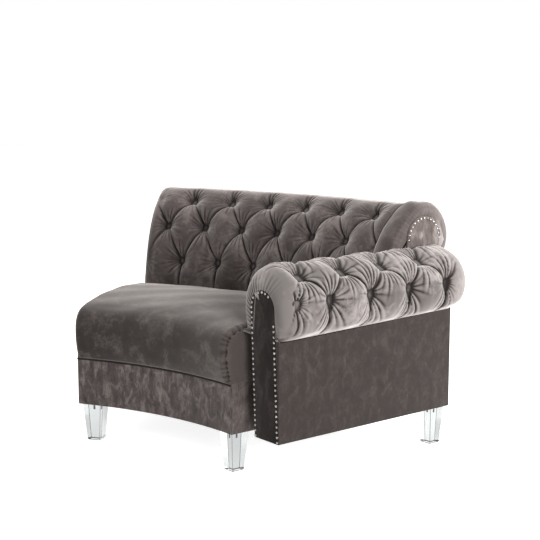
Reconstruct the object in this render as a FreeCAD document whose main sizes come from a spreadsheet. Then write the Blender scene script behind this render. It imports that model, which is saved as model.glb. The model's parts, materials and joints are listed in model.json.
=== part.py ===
"""Curved end module of a tufted sectional sofa, with one rolled arm and four clear legs.

Every piece is drawn about the centre of the module's curve: radius outwards, angle from the
arm's side towards the open left end, +Z up. At the end the whole sofa is moved so that the
middle of its footprint is the origin. Front is -Y and the arm stands at +X. Millimetres.
"""
import FreeCAD
import Part
import Sketcher
import math
import os

V = FreeCAD.Vector
Z_AXIS = V(0, 0, 1)
DEGREES_PER_RADIAN = 57.29578
ROD_SIDES = 10
START_POINT, END_POINT = 1, 2

doc = FreeCAD.newDocument("SofaModule")
sheet = doc.addObject("Spreadsheet::Sheet", "Sizes")


class Size:
    """A size that knows its value and the sheet expression that it comes from."""

    def __init__(self, value, text):
        self.value = value
        self.text = text

    def joined(self, sign, other, value):
        return Size(value, "({} {} {})".format(self.text, sign, as_size(other).text))

    def __add__(self, other):
        return self.joined("+", other, self.value + as_size(other).value)

    def __sub__(self, other):
        return self.joined("-", other, self.value - as_size(other).value)

    def __mul__(self, other):
        return self.joined("*", other, self.value * as_size(other).value)

    def __truediv__(self, other):
        return self.joined("/", other, self.value / as_size(other).value)

    def __neg__(self):
        return Size(-self.value, "(0 - {})".format(self.text))

    def __float__(self):
        return float(self.value)


def as_size(number):
    return number if isinstance(number, Size) else Size(float(number), "{:g}".format(number))


rows = []


def size(alias, value):
    """Write one driving dimension into the sheet and return it."""
    rows.append(alias)
    cell = "B{}".format(len(rows))
    sheet.set("A{}".format(len(rows)), alias)
    sheet.set(cell, "{:g}".format(value))
    sheet.setAlias(cell, alias)
    return Size(float(value), "Sizes." + alias)


# Driving dimensions
sweep = size("sweep_angle", 32.7)
rail_radius = size("rail_radius", 1157)
back_radius = size("back_radius", 1950)
leg_height = size("leg_height", 130)
leg_top = size("leg_top_width", 66)
leg_foot = size("leg_foot_width", 46)
leg_bevel = size("leg_foot_bevel", 2)
leg_inset = size("leg_inset", 43)
stud_diameter = size("stud_diameter", 8)
stud_in_leg = size("stud_depth_in_leg", 22)
stud_play = size("stud_play", 0.3)
nut_barrel = size("nut_barrel_diameter", 11)
nut_flange = size("nut_flange_diameter", 22)
nut_flange_height = size("nut_flange_height", 1.5)
nut_length = size("nut_barrel_length", 12)
lining = size("dust_cover_thickness", 1)
cover = size("cover_thickness", 5)
return_length = size("cover_return_length", 100)
board = size("board_thickness", 22)
rail_height = size("rail_height", 150)
seam_height = size("seam_height", 291)
stretcher_height = size("stretcher_height", 90)
block_width = size("block_width", 70)
block_height = size("block_height", 40)
web_width = size("webbing_width", 50)
web = size("webbing_thickness", 2)
web_count = size("webbing_count", 7)
welt_radius = size("welt_radius", 3.5)
seat_overhang = size("seat_overhang", 27)
seat_edge = size("seat_edge_height", 466)
seat_crown = size("seat_crown", 20)
seat_depth = size("seat_pad_depth", 543)
foam_inset = size("seat_foam_inset", 24)
pad_gap = size("gap_between_pads", 2)
roll_middle = size("back_roll_middle_from_outside", 57)
head_drop = size("back_head_below_top", 106)
head_radius = size("back_head_radius", 60)
end_panel_radius = size("back_end_panel_radius", 77)
back_height = size("back_height", 806)
back_overhang = size("back_roll_overhang", 65)
back_seam = size("back_seam_height", 600)
top_row_drop = size("top_row_below_top", 38)
tuft_pitch = size("tuft_pitch_angle", 5.05)
tuft_depth = size("tuft_depth", 14)
tuft_fold = size("tuft_fold_depth", 6)
tuft_swell = size("tuft_swell", 10)
tuft_round = size("tuft_round", 7)
end_puff = size("end_roll_puff", 14)
post_foot = size("post_foot_width", 63)
post_lean = size("post_lean", 22)
lumbar_height = size("lumbar_rail_height", 480)
deck_gap = size("pad_above_rails", 12)
end_width = size("back_end_width", 96)
arm_inside = size("arm_inside", 64)
arm_width = size("arm_width", 112)
arm_setback = size("arm_setback", 48)
arm_seam = size("arm_seam_height", 450)
arm_height = size("arm_height", 676)
arm_overhang = size("arm_roll_overhang", 68)
arm_inner_bulge = size("arm_inner_bulge", 78)
arm_spring = size("arm_arch_spring_height", 540)
arm_arch = size("arm_arch_radius", 55)
arm_lean = size("arm_arch_lean", 23)
arm_pitch = size("arm_tuft_pitch", 168)
arm_first = size("arm_first_tuft", 72)
nail_pitch = size("nail_pitch", 16)
nail_radius = size("nail_radius", 4.5)
nail_margin = size("nail_margin", 7)
panel_grow = size("panel_grow", 5)
button_radius = size("button_radius", 11)
button_height = size("button_height", 11)
bolt_diameter = size("bolt_diameter", 8)
bolt_first = size("bolt_from_arm_front", 95)
bolt_pitch = size("bolt_pitch", 190)
arm_wall = size("arm_cover_thickness", 32)
arm_end_wall = size("arm_cover_at_ends", 20)
back_wall = size("back_cover_thickness", 20)
front_tuft = size("arm_front_tuft", 26)
shift_x = size("shift_x", 0)
shift_y = size("shift_y", 0)
doc.recompute()

# Levels and radii that follow from them
frame_bottom = leg_height + lining
rail_top = frame_bottom + rail_height
deck_top = rail_top + web * 2
rail_outer = rail_radius + cover
rail_inner = rail_outer + board
back_outer = back_radius - cover
back_inner = back_outer - board
roll_radius = back_radius - roll_middle
roll_level = back_height - head_drop
pad_radius = rail_radius + seat_depth + pad_gap
arm_outside = arm_inside + arm_width
arm_front = rail_radius + arm_setback
arm_rear = back_radius
gap_front = rail_outer + return_length - cover
post_edge = roll_radius - head_radius
post_toe = back_inner - post_foot
half_spacer = block_width / 2
rail_drop = block_width
top_rail_head = arm_spring + arm_arch / 2

# Rows of the back's buttons: share of the way back to the roll, and of the way up to the top row
ROW_RADII = (0.084, 0.31, 0.635)
ROW_LEVELS = (0.295, 0.709, 1.0)
BACK_NORMALS = ((-0.985, 0.17), (-0.88, 0.47), (-0.6, 0.8))
ARM_NORMALS = ((-1.0, 0.0), (-0.55, 0.83), (0.55, 0.83), (1.0, 0.0))

sub_parts = []


def bind(item, prop, value):
    """Tie one property to the sheet."""
    item.setExpression(prop, as_size(value).text)


def placed(item, label, turn=0):
    """Name a finished sub-part and give it its place about the curve's centre."""
    item.Label = label
    item.Placement = FreeCAD.Placement(V(0, 0, 0), FreeCAD.Rotation(Z_AXIS, float(turn)))
    bind(item, "Placement.Base.x", shift_x)
    bind(item, "Placement.Base.y", shift_y)
    if isinstance(turn, Size):
        bind(item, "Placement.Rotation.Angle", turn)
    sub_parts.append(item)
    return item


def plane_of(body, role):
    return [p for p in body.Origin.OriginFeatures if p.Role == role][0]


def new_sketch(body, role, level=0):
    """An empty sketch on one of the body's own planes, at a level above it."""
    sketch = body.newObject("Sketcher::SketchObject", "Profile")
    sketch.AttachmentSupport = [(plane_of(body, role), "")]
    sketch.MapMode = "FlatFace"
    sketch.AttachmentOffset.Base.z = float(level)
    if isinstance(level, Size):
        bind(sketch, "AttachmentOffset.Base.z", level)
    return sketch


def fix_point(sketch, geometry, point, u, v):
    """Hold one end of an edge at two sizes from the sketch's origin."""
    for kind, distance in (("DistanceX", u), ("DistanceY", v)):
        number = sketch.addConstraint(Sketcher.Constraint(kind, -1, 1, geometry, point, float(distance)))
        if isinstance(distance, Size):
            bind(sketch, "Constraints[{}]".format(number), distance)


def draw_outline(sketch, corners):
    """Close an outline of corners (u, v) or (u, v, radius of the arc to the next corner)."""
    count = len(corners)
    for i, corner in enumerate(corners):
        start = V(float(corner[0]), float(corner[1]), 0)
        after = corners[(i + 1) % count]
        end = V(float(after[0]), float(after[1]), 0)
        if len(corner) == 2:
            sketch.addGeometry(Part.LineSegment(start, end))
            continue
        radius = float(corner[2])
        chord = end - start
        reach = math.sqrt(max(radius ** 2 - chord.Length ** 2 / 4, 0))
        side = V(-chord.y, chord.x, 0).normalize()
        middle = (start + end) / 2 + side * (reach - radius)
        sketch.addGeometry(Part.Arc(start, middle, end))
    for i, corner in enumerate(corners):
        arc = len(corner) == 3
        fix_point(sketch, i, START_POINT, corner[0], corner[1])
        sketch.addConstraint(Sketcher.Constraint("Coincident", i, END_POINT, (i + 1) % count, START_POINT))
        if arc:
            number = sketch.addConstraint(Sketcher.Constraint("Radius", i, float(corner[2])))
            bind(sketch, "Constraints[{}]".format(number), corner[2])


def pad(body, sketch, length, centred=False):
    feature = body.newObject("PartDesign::Pad", "Pad")
    feature.Profile = sketch
    feature.Length = float(length)
    feature.Midplane = centred
    bind(feature, "Length", length)
    sketch.Visibility = False
    return feature


def block(x0, x1, y0, y1, z0, z1):
    """A straight board, square to the plane that it is turned to."""
    body = doc.addObject("PartDesign::Body", "Block")
    sketch = new_sketch(body, "XY_Plane", z0)
    draw_outline(sketch, [(x0, y0), (x1, y0), (x1, y1), (x0, y1)])
    pad(body, sketch, as_size(z1) - z0)
    return body


def sector(inner, outer, start, end, z0, z1):
    """A board sawn to the module's curve, between two angles."""
    body = doc.addObject("PartDesign::Body", "Sector")
    sketch = new_sketch(body, "XY_Plane", z0)
    a, b = math.radians(90 + float(start)), math.radians(90 + float(end))
    for radius in (inner, outer):
        circle = Part.Circle(V(0, 0, 0), Z_AXIS, float(radius))
        sketch.addGeometry(Part.ArcOfCircle(circle, a, b))
    for angle in (a, b):
        ray = V(math.cos(angle), math.sin(angle), 0)
        sketch.addGeometry(Part.LineSegment(ray * float(inner), ray * float(outer)))
    for arc, radius in ((0, inner), (1, outer)):
        sketch.addConstraint(Sketcher.Constraint("Coincident", arc, 3, -1, 1))
        number = sketch.addConstraint(Sketcher.Constraint("Radius", arc, float(radius)))
        bind(sketch, "Constraints[{}]".format(number), radius)
    for line, end_point, angle in ((2, 1, start), (3, 2, end)):
        sketch.addConstraint(Sketcher.Constraint("Coincident", 0, end_point, line, 1))
        sketch.addConstraint(Sketcher.Constraint("Coincident", 1, end_point, line, 2))
        turn = math.radians(90 + float(angle))
        number = sketch.addConstraint(Sketcher.Constraint("Angle", line, turn))
        if isinstance(angle, Size):
            bind(sketch, "Constraints[{}]".format(number), angle + 90)
    pad(body, sketch, as_size(z1) - z0)
    return body


def profile_board(role, corners, level, thickness, centred=False):
    """A board sawn to a drawn outline."""
    body = doc.addObject("PartDesign::Body", "Board")
    sketch = new_sketch(body, role, level)
    draw_outline(sketch, corners)
    pad(body, sketch, thickness, centred)
    return body


def prism(diameter, height):
    """A many-sided bar or hole: the small repeated pieces keep few faces."""
    item = doc.addObject("Part::Prism", "Rod")
    item.Polygon = ROD_SIDES
    item.Circumradius = float(diameter) / 2
    item.Height = float(height)
    bind(item, "Circumradius", as_size(diameter) / 2)
    bind(item, "Height", height)
    return item


def rod(diameter, height, x, y, z, turn=0):
    """An upright bar or hole standing at a place in a turned plane."""
    item = prism(diameter, height)
    spin = FreeCAD.Rotation(Z_AXIS, float(turn))
    item.Placement = FreeCAD.Placement(spin.multVec(V(float(x), float(y), float(z))), spin)
    return item


def group(items):
    compound = doc.addObject("Part::Compound", "Group")
    compound.Links = items
    return compound


def cut(base, tool):
    item = doc.addObject("Part::Cut", "Cut")
    item.Base = base
    item.Tool = tool
    return item


def fused(*items):
    item = doc.addObject("Part::MultiFuse", "Fused")
    item.Shapes = list(items)
    return item


def solid_feature(shape):
    item = doc.addObject("Part::Feature", "Form")
    item.Shape = shape
    return item


def radial(angle):
    """Places (radius, height) in the upright plane at an angle of the curve."""
    a = math.radians(angle)
    return lambda p: V(-p[0] * math.sin(a), p[0] * math.cos(a), p[1])


def across(y):
    """Places (x, height) in the upright plane across the arm."""
    return lambda p: V(p[0], y, p[1])


def beside(x):
    """Places (radius, height) in the upright plane across the back's end over the arm."""
    return lambda p: V(x, p[0], p[1])


def wire_through(points, place):
    """A closed wire of lines and arcs: a point in a list of its own is the middle of an arc."""
    edges = []
    corners = [p for p in points if not isinstance(p, list)]
    following = {id(p): corners[(i + 1) % len(corners)] for i, p in enumerate(corners)}
    for i, p in enumerate(points):
        if isinstance(p, list):
            continue
        end = place(following[id(p)])
        after = points[(i + 1) % len(points)]
        if isinstance(after, list):
            edges.append(Part.Arc(place(p), place(after[0]), end).toShape())
        else:
            edges.append(Part.LineSegment(place(p), end).toShape())
    return Part.Wire(edges)


def loft(wires):
    return Part.makeLoft(wires, True, True)


def tuft_height(u, v):
    """How far a tufted pad stands out at u half pitches along and v rows up.

    A button draws the pad in wherever u and v are whole and their sum is odd. Folds run from
    button to button, and between them each diamond rises to the middle of its pillow.
    """
    a = abs(math.cos(math.pi * (u + v) / 2))
    b = abs(math.cos(math.pi * (u - v) / 2))
    fold = tuft_fold.value
    pillow = (tuft_swell.value + fold) * math.sqrt(a * b)
    return pillow - fold - (tuft_depth.value - fold) * (1 - a) * (1 - b)


def facet(points):
    return Part.Face(Part.makePolygon(points + points[:1]))


def faceted(sections):
    """A solid through closed sections of (point, height), creased along the folds of its tufts."""
    faces = [facet([point for point, _ in section]) for section in (sections[0], sections[-1])]
    crease = -tuft_fold.value - 1
    for near, far in zip(sections, sections[1:]):
        for n in range(len(near)):
            after = (n + 1) % len(near)
            corners = [near[n], near[after], far[after], far[n]]
            points = [point for point, _ in corners]
            heights = [height for _, height in corners]
            if not any(heights):
                faces.append(facet(points))
                continue
            lowest = min(range(4), key=lambda i: heights[i])
            if heights[lowest] < crease:
                first = lowest % 2
            else:
                first = int(heights[0] + heights[2] < heights[1] + heights[3])
            turned_points = points[first:] + points[:first]
            faces.append(facet([turned_points[i] for i in (0, 1, 2)]))
            faces.append(facet([turned_points[i] for i in (0, 2, 3)]))
    return Part.makeSolid(Part.makeShell(faces))


def swept_face(points, place, start_angle, angle):
    """Turn an outline in the (radius, height) plane about the curve's centre."""
    face = Part.Face(wire_through(points, place))
    face.rotate(V(0, 0, 0), Z_AXIS, start_angle)
    return face.revolve(V(0, 0, 0), Z_AXIS, angle)


def edge_angle(offset, radius):
    """The angle that a thickness takes up at a radius."""
    return as_size(offset) / radius * DEGREES_PER_RADIAN


def leg_places():
    """Each leg's name, its plane's turn and its place in that plane."""
    yield "leg_front_left", sweep, leg_inset, rail_radius + leg_inset
    yield "leg_rear_left", sweep, leg_inset, back_radius - leg_inset
    yield "leg_front_right", as_size(0), -leg_inset, rail_radius + leg_inset
    yield "leg_rear_right", as_size(0), arm_outside - leg_inset, arm_rear - leg_inset


def frustum(low, high, low_width, high_width):
    """A square block that widens upwards."""
    item = doc.addObject("Part::Wedge", "Taper")
    sizes = {"Ymin": as_size(low), "Ymax": as_size(high)}
    for axis in "XZ":
        sizes[axis + "min"] = -low_width / 2
        sizes[axis + "max"] = low_width / 2
        sizes[axis + "2min"] = -high_width / 2
        sizes[axis + "2max"] = high_width / 2
    for name, value in sizes.items():
        bind(item, name, value)
    item.Placement = FreeCAD.Placement(V(0, 0, 0), FreeCAD.Rotation(V(1, 0, 0), 90))
    return item


def build_leg(label, turn, x, y):
    """A clear tapered block with a small bevel at its foot and a bore for its stud."""
    taper = fused(frustum(0, leg_bevel, leg_foot - leg_bevel * 2, leg_foot),
                  frustum(leg_bevel, leg_height, leg_foot, leg_top))
    bored = cut(taper, rod(stud_diameter, stud_in_leg * 2, 0, 0, leg_height - stud_in_leg))
    spin = FreeCAD.Rotation(Z_AXIS, float(turn))
    bored.Placement = FreeCAD.Placement(spin.multVec(V(float(x), float(y), 0)), spin)
    placed(group([bored]), label)


def build_legs():
    studs = []
    nuts = []
    stud_length = stud_in_leg + lining + block_height
    block_top = frame_bottom + block_height
    for label, turn, x, y in leg_places():
        build_leg(label, turn, x, y)
        studs.append(rod(stud_diameter, stud_length, x, y, leg_height - stud_in_leg, turn))
        barrel = rod(nut_barrel, nut_length, x, y, block_top - nut_length, turn)
        flange = rod(nut_flange, nut_flange_height, x, y, block_top, turn)
        bore = rod(stud_diameter + stud_play * 2, block_height, x, y, block_top - nut_length - 1, turn)
        nuts.append(cut(fused(barrel, flange), bore))
    placed(group(studs), "leg_studs")
    placed(group(nuts), "leg_t_nuts")


def stud_holes(diameter, height, z):
    return group([rod(diameter, height, x, y, z, turn) for _, turn, x, y in leg_places()])


def turned(body, turn):
    """Stand a helper body in its plane before it is used in a cut."""
    body.Placement = FreeCAD.Placement(V(0, 0, 0), FreeCAD.Rotation(Z_AXIS, float(turn)))
    if isinstance(turn, Size):
        bind(body, "Placement.Rotation.Angle", turn)
    return body


def build_seat_frame():
    front_gap = edge_angle(cover, rail_outer)
    rear_gap = edge_angle(cover, back_inner)
    front_rail = sector(rail_outer, rail_inner, front_gap, sweep - front_gap, frame_bottom, rail_top)
    placed(front_rail, "front_rail")
    placed(sector(back_inner, back_outer, 0, sweep - rear_gap, frame_bottom, rail_top), "back_rail")
    ends = (rail_inner + 1, post_toe - 1)
    placed(block(cover, cover + board, *ends, frame_bottom, rail_top), "left_end_rail", sweep)
    rail = block(-cover - board, -cover, *ends, frame_bottom, rail_top)
    placed(cut(rail, arm_bolt_bars(bolt_diameter + stud_play)), "right_end_rail")
    half = board / 2
    bars = []
    for share in (1, 2):
        bar = block(-half, half, *ends, rail_top - stretcher_height, rail_top)
        bars.append(turned(bar, sweep * share / 3))
    placed(group(bars), "seat_stretchers")
    near = cover + board + 2
    front = (rail_inner + 1, rail_inner + block_width)
    rear = (back_inner - block_width, back_inner - 4)
    levels = (frame_bottom, frame_bottom + block_height)
    blocks = [
        turned(block(near, near + block_width, *front, *levels), sweep),
        turned(block(near, near + block_width, *rear, *levels), sweep),
        block(-near - block_width, -near, *front, *levels),
        block(end_width + cover, arm_outside - near, *rear, *levels),
    ]
    placed(cut(group(blocks), stud_holes(nut_barrel, block_height * 2, frame_bottom - 1)), "corner_blocks")
    under = (leg_height, frame_bottom)
    sheets = fused(
        sector(rail_outer, back_outer, front_gap, sweep - front_gap, *under),
        block(arm_inside, arm_outside - cover, arm_front + cover, arm_rear - cover, *under),
        block(-cover * 2, arm_inside + 1, gap_front + cover, arm_rear - cover, *under),
    )
    holes = stud_holes(stud_diameter + stud_play * 2, lining * 4, leg_height - lining)
    placed(cut(sheets, holes), "dust_cover")


def build_webbing():
    """Flat straps front to back, and others across them that follow the curve."""
    straps = []
    count = int(web_count.value)
    half = web_width / 2
    for i in range(count):
        strap = block(-half, half, rail_outer + 2, back_inner - 90, rail_top, rail_top + web)
        straps.append(turned(strap, sweep * (i + 0.7) / (count + 0.4)))
    placed(group(straps), "webbing_front_to_back")
    rings = []
    margin = edge_angle(cover + 2, rail_outer)
    for i in range(3):
        inner = rail_inner + 90 + (web_width + 90) * i
        rings.append(sector(inner, inner + web_width, margin, sweep - margin, rail_top + web, deck_top))
    placed(group(rings), "webbing_across")


def seat_section(angle, share):
    """The seat's outline; share runs from 0 at a drawn-in end to 1 at the full crown."""
    front = rail_radius.value - seat_overhang.value * (0.45 + 0.55 * share)
    top = seat_edge.value - 10 + (seat_crown.value + 10) * share
    edge = seat_edge.value - 14 + 14 * share
    rear = pad_radius.value - pad_gap.value
    low = seam_height.value + pad_gap.value
    foot = rail_radius.value - 4
    belly = (low + edge) / 2 - 6
    shoulder = (front + 34, edge - 12)
    top_start = (front + 118, edge + 0.55 * (top - edge) + 4)
    points = [
        (foot, low), [(front, belly)], shoulder,
        [(front + 68, edge + 0.2 * (top - edge) + 2)], top_start,
        [((top_start[0] + rear) / 2, top)], (rear, edge - 4),
        (rear, low),
    ]
    return wire_through(points, radial(angle))


def seat_form():
    """The crowned outside of the seat, drawn in at both ends."""
    full = sweep.value
    shares = ((0, 0.0), (0.03, 0.5), (0.16, 0.87), (0.5, 1.0), (0.84, 0.87), (0.97, 0.5), (1, 0.0))
    return loft([seat_section(full * place, share) for place, share in shares])


def seat_core():
    """The foam slab on the webbing, with its front edge rounded."""
    front = rail_radius.value - seat_overhang.value * 0.45 + foam_inset.value
    rear = pad_radius.value - pad_gap.value - foam_inset.value / 2
    top = seat_edge.value - 10 - foam_inset.value
    low = deck_top.value
    step = seam_height.value + pad_gap.value
    round_edge = 40
    corner = round_edge * (1 - math.sqrt(0.5))
    inner = rail_inner.value + 2
    points = [
        (inner, low), (inner, step), (front, step), (front, top - round_edge),
        (front + corner, top - corner), (front + round_edge, top), (rear, top), (rear, low),
    ]
    margin = float(edge_angle(cover + board + 3, rail_inner))
    return swept_face(points, radial(0), margin, sweep.value - 2 * margin)


def build_seat():
    core = solid_feature(seat_core())
    placed(core, "seat_foam")
    form = seat_form().cut(seat_core()).cut(arm_envelope(0.5))
    placed(solid_feature(form), "seat_cover")
    placed(sector(rail_radius, rail_outer, 0, sweep, leg_height, seam_height), "front_rail_cover")
    placed(block(-cover, 0, rail_outer + 1, rail_outer + return_length, leg_height, seam_height),
           "right_return_cover")
    left_end = block(0, cover, rail_outer + 1, back_outer - 1, leg_height, seam_height)
    placed(left_end, "left_end_cover", sweep)
    placed(solid_feature(seat_welt()), "seat_welt")


def seat_welt():
    """The thin piping that runs along the seam under the seat's front."""
    radius = welt_radius.value
    middle = (rail_radius.value - radius, seam_height.value - radius)
    corners = [math.radians(60 * i) for i in range(6)]
    points = [(middle[0] + radius * math.cos(a), middle[1] + radius * math.sin(a)) for a in corners]
    return swept_face(points, radial(0), 0, sweep.value)


def arm_outline(grow, bottom):
    """The arm's upright end: straight sides that lean in, under a round head."""
    middle = arm_inside + arm_width / 2 - arm_lean
    head = arm_arch + grow
    return [
        (arm_inside - grow, bottom), (arm_outside - cover + grow, bottom),
        (middle + head, arm_spring, head), (middle, arm_spring + head, head), (middle - head, arm_spring),
    ]


def arm_block(grow, bottom, y0, y1):
    """A board of the arm's outline that fills the stretch from y0 to y1."""
    return profile_board("XZ_Plane", arm_outline(grow, bottom), -as_size(y1), as_size(y1) - y0)


arm_inner = arm_inside.value - arm_inner_bulge.value
arm_outer = arm_outside.value + arm_overhang.value
arm_middle = (arm_inner + arm_outer) / 2


def arm_nodes():
    """Where the four rows of buttons lie on the arm's smooth roll: inner side, tops, outer side."""
    top = arm_height.value
    level = (arm_seam.value + top) / 2
    return [
        (arm_inner, level), (arm_middle - 72, top - 26), (arm_middle + 74, top - 24),
        (arm_outer, level + 10),
    ]


def moved(point, normal, distance):
    return (point[0] + normal[0] * distance, point[1] + normal[1] * distance)


def halfway(a, b, bulge):
    """The middle of a chord, pushed out to its left by a bulge."""
    along = (b[0] - a[0], b[1] - a[1])
    length = math.hypot(*along)
    return ((a[0] + b[0]) / 2 - along[1] / length * bulge, (a[1] + b[1]) / 2 + along[0] / length * bulge)


def with_normals(outline, normals):
    """Rows and the points halfway between them, as (point, normal, row)."""
    result = []
    for i, point in enumerate(outline):
        near, far = normals[i // 2], normals[(i + 1) // 2]
        normal = ((near[0] + far[0]) / 2, (near[1] + far[1]) / 2)
        length = math.hypot(*normal)
        result.append((point, (normal[0] / length, normal[1] / length), i / 2 - 1))
    return result


def arm_line(swell=0.0):
    """The smooth roll from its inner foot over the top to its outer seam, in half rows."""
    nodes = [moved(point, normal, swell) for point, normal in zip(arm_nodes(), ARM_NORMALS)]
    foot = (arm_inner + 8, arm_seam.value + 5)
    heel = (arm_outside.value + 1, arm_seam.value)
    bulge = tuft_round.value
    return [
        foot, halfway(foot, nodes[0], bulge), nodes[0], halfway(nodes[0], nodes[1], bulge * 2), nodes[1],
        (arm_middle, arm_height.value + swell), nodes[2], halfway(nodes[2], nodes[3], bulge * 2), nodes[3],
        halfway(nodes[3], heel, bulge * 3), heel,
    ]


def arm_section(y, share, shrink=0.0, pit=None):
    """The tufted outline at one place along the arm.

    Share fades the tufts out at the ends, and a pit is the row that a lone button draws in.
    """
    u = (y - arm_front.value - arm_first.value) / (arm_pitch.value / 2)
    place = across(y)
    section = []
    line = with_normals(arm_line(), [(-1.0, 0.0), *ARM_NORMALS, (0.8, -0.6)])
    for i, (point, normal, row) in enumerate(line):
        edge = min(i, len(line) - 1 - i) / 2
        height = tuft_height(u, row + 1) * share * min(edge, 1) - shrink * min(edge * 2, 1)
        if row == pit:
            height = -tuft_depth.value
        section.append((place(moved(point, normal, height)), height))
    return section


def arm_stations():
    """Places along the arm where a row of buttons, a fold or a pillow has its middle."""
    y = arm_front.value + arm_first.value
    while y < arm_rear.value - arm_pitch.value / 4:
        yield y
        y += arm_pitch.value / 4


def arm_form():
    """The tufted roll, rounded at its front and rear ends."""
    front, rear = arm_front.value, arm_rear.value
    sections = [arm_section(front, 0, 16), arm_section(front + 8, 0, 4)]
    sections.append(arm_section(front + front_tuft.value, 0.4, pit=3))
    sections += [arm_section(y, 1) for y in arm_stations()]
    sections += [arm_section(rear - 22, 0.2), arm_section(rear, 0, 20)]
    return faceted(sections)


def arm_envelope(gap):
    """The space that the arm's roll may fill, for pieces that keep clear of it."""
    points = arm_line(tuft_swell.value + gap)
    outline = [[p] if i % 2 else p for i, p in enumerate(points)]
    ends = (arm_front.value - gap, arm_rear.value)
    return loft([wire_through(outline, across(y)) for y in ends])


def arm_core(bottom, start, end):
    """The foam's outline inside the tufted roll."""
    wall = arm_wall.value
    left = (arm_inner + wall, (arm_seam.value + arm_height.value) / 2)
    right = (arm_outer - wall, left[1] + 6)
    top = (arm_middle, arm_height.value - wall - 10)
    slant = math.sqrt(0.5)
    points = [
        (left[0], bottom), left,
        [(top[0] - (top[0] - left[0]) * slant, left[1] + (top[1] - left[1]) * slant)], top,
        [(top[0] + (right[0] - top[0]) * slant, right[1] + (top[1] - right[1]) * slant)], right,
        (arm_outside.value - cover.value, arm_seam.value + 24), (arm_outside.value - cover.value, bottom),
    ]
    face = Part.Face(wire_through(points, across(start)))
    return face.extrude(V(0, end - start, 0))


def build_arm():
    front, rear = arm_front.value, arm_rear.value
    wall = arm_end_wall.value
    clear = 0.5
    tall = arm_block(as_size(clear), leg_height - 5, arm_front - 10, arm_rear - cover)
    lip = arm_block(panel_grow + clear, leg_height - 5, arm_front - 10, arm_front + cover)
    doc.recompute()
    hole = tall.Shape.fuse(lip.Shape)
    back_space = back_envelope(1.0)
    core = arm_core(arm_seam.value - 20, front + wall, rear - wall)
    roll = arm_form().cut(core).cut(hole).cut(back_space)
    placed(solid_feature(largest(roll)), "arm_tufted_roll")
    filling = arm_core(arm_seam.value + 8, front + wall + clear, rear - wall - clear)
    foam = filling.cut(hole).cut(back_space)
    placed(solid_feature(largest(foam)), "arm_foam")
    doc.removeObject(tall.Name)
    doc.removeObject(lip.Name)
    board_face = arm_front + cover
    placed(arm_block(as_size(0), frame_bottom, board_face, board_face + board), "arm_front_board")
    placed(arm_block(panel_grow, leg_height, arm_front - 1, arm_front + cover - 1), "arm_front_panel")
    inner = end_width + cover
    back_face = arm_rear - cover
    rear_top = as_size(arm_seam)
    placed(arm_rear_board(inner, arm_outside - cover, rear_top, back_face), "arm_rear_board")
    placed(block(inner, arm_outside - cover, back_face, arm_rear, leg_height, rear_top), "arm_rear_panel")
    start, end = arm_front + cover + board, back_face - board
    low = frame_bottom + rail_drop
    outer = (arm_outside - cover - board, arm_outside - cover)
    placed(block(*outer, start, end, frame_bottom, low), "arm_bottom_rail")
    placed(block(*outer, start, end, rear_top - rail_drop, rear_top), "arm_outer_rail")
    rail = block(arm_inside, arm_inside + board, start, post_toe - 1, frame_bottom, low)
    placed(cut(rail, arm_bolt_bars(bolt_diameter + stud_play)), "arm_inner_rail")
    head = top_rail_head
    placed(block(inner + 1, inner + 1 + board, start, end, head - board * 2, head), "arm_top_rail")
    placed(block(arm_outside - cover, arm_outside, arm_front + cover, arm_rear, leg_height, arm_seam),
           "arm_outside_panel")
    spacers = [
        block(0, arm_inside, y - half_spacer, y + half_spacer, frame_bottom, low)
        for y in arm_bolt_places()
    ]
    placed(cut(group(spacers), arm_bolt_bars(bolt_diameter + stud_play)), "arm_spacers")
    placed(arm_bolts(), "arm_bolts")
    placed(block(0, arm_inside, gap_front, gap_front + cover, leg_height, arm_seam), "arm_gap_cover")
    inner_pad = block(1, arm_inside - 1, gap_front + cover, pad_radius - 30, low + 2, arm_seam)
    placed(inner_pad, "arm_inner_pad")
    placed(solid_feature(Part.makeCompound(arm_buttons())), "arm_buttons")
    placed(solid_feature(Part.makeCompound(arm_nails())), "arm_nailheads")


def arm_rear_board(inner, outer, top, back_face):
    """The board that closes the arm's rear, with a tongue that holds up the top rail."""
    side = inner + 1 + board
    corners = [
        (inner, frame_bottom), (outer, frame_bottom), (outer, top), (side, top), (side, top_rail_head),
        (inner, top_rail_head),
    ]
    return profile_board("XZ_Plane", corners, -as_size(back_face), board)


def largest(shape):
    """The main solid of a cut, without the crumbs that a cut can leave."""
    return max(shape.Solids, key=lambda solid: solid.Volume)


def arm_bolt_places():
    """Distances from the curve's centre of the bolts that hold the arm to the seat."""
    first = arm_front + bolt_first
    return [first, first + bolt_pitch, first + bolt_pitch * 2]


def bar_along_x(diameter, x, length, y, z):
    item = prism(diameter, length)
    item.Placement = FreeCAD.Placement(V(float(x), float(y), float(z)), FreeCAD.Rotation(V(0, 1, 0), 90))
    return item


def arm_bolt_bars(diameter):
    """Bars on the bolts' lines, right through the seat rail, the spacers and the arm."""
    level = frame_bottom + rail_drop / 2
    start = -cover - board - 10
    length = arm_inside + board - start + 10
    return group([bar_along_x(diameter, start, length, y, level) for y in arm_bolt_places()])


def arm_bolts():
    """Bolts with a wide head against the seat rail and a nut inside the arm."""
    level = frame_bottom + rail_drop / 2
    head = bolt_diameter / 2
    seat_face = -cover - board
    arm_face = arm_inside + board
    bolts = []
    for y in arm_bolt_places():
        shank = bar_along_x(bolt_diameter, seat_face, arm_face - seat_face, y, level)
        cap = bar_along_x(bolt_diameter * 2, seat_face - head, head, y, level)
        nut = bar_along_x(bolt_diameter * 1.8, arm_face, head * 1.5, y, level)
        bolts.append(fused(shank, cap, nut))
    return group(bolts)


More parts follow.
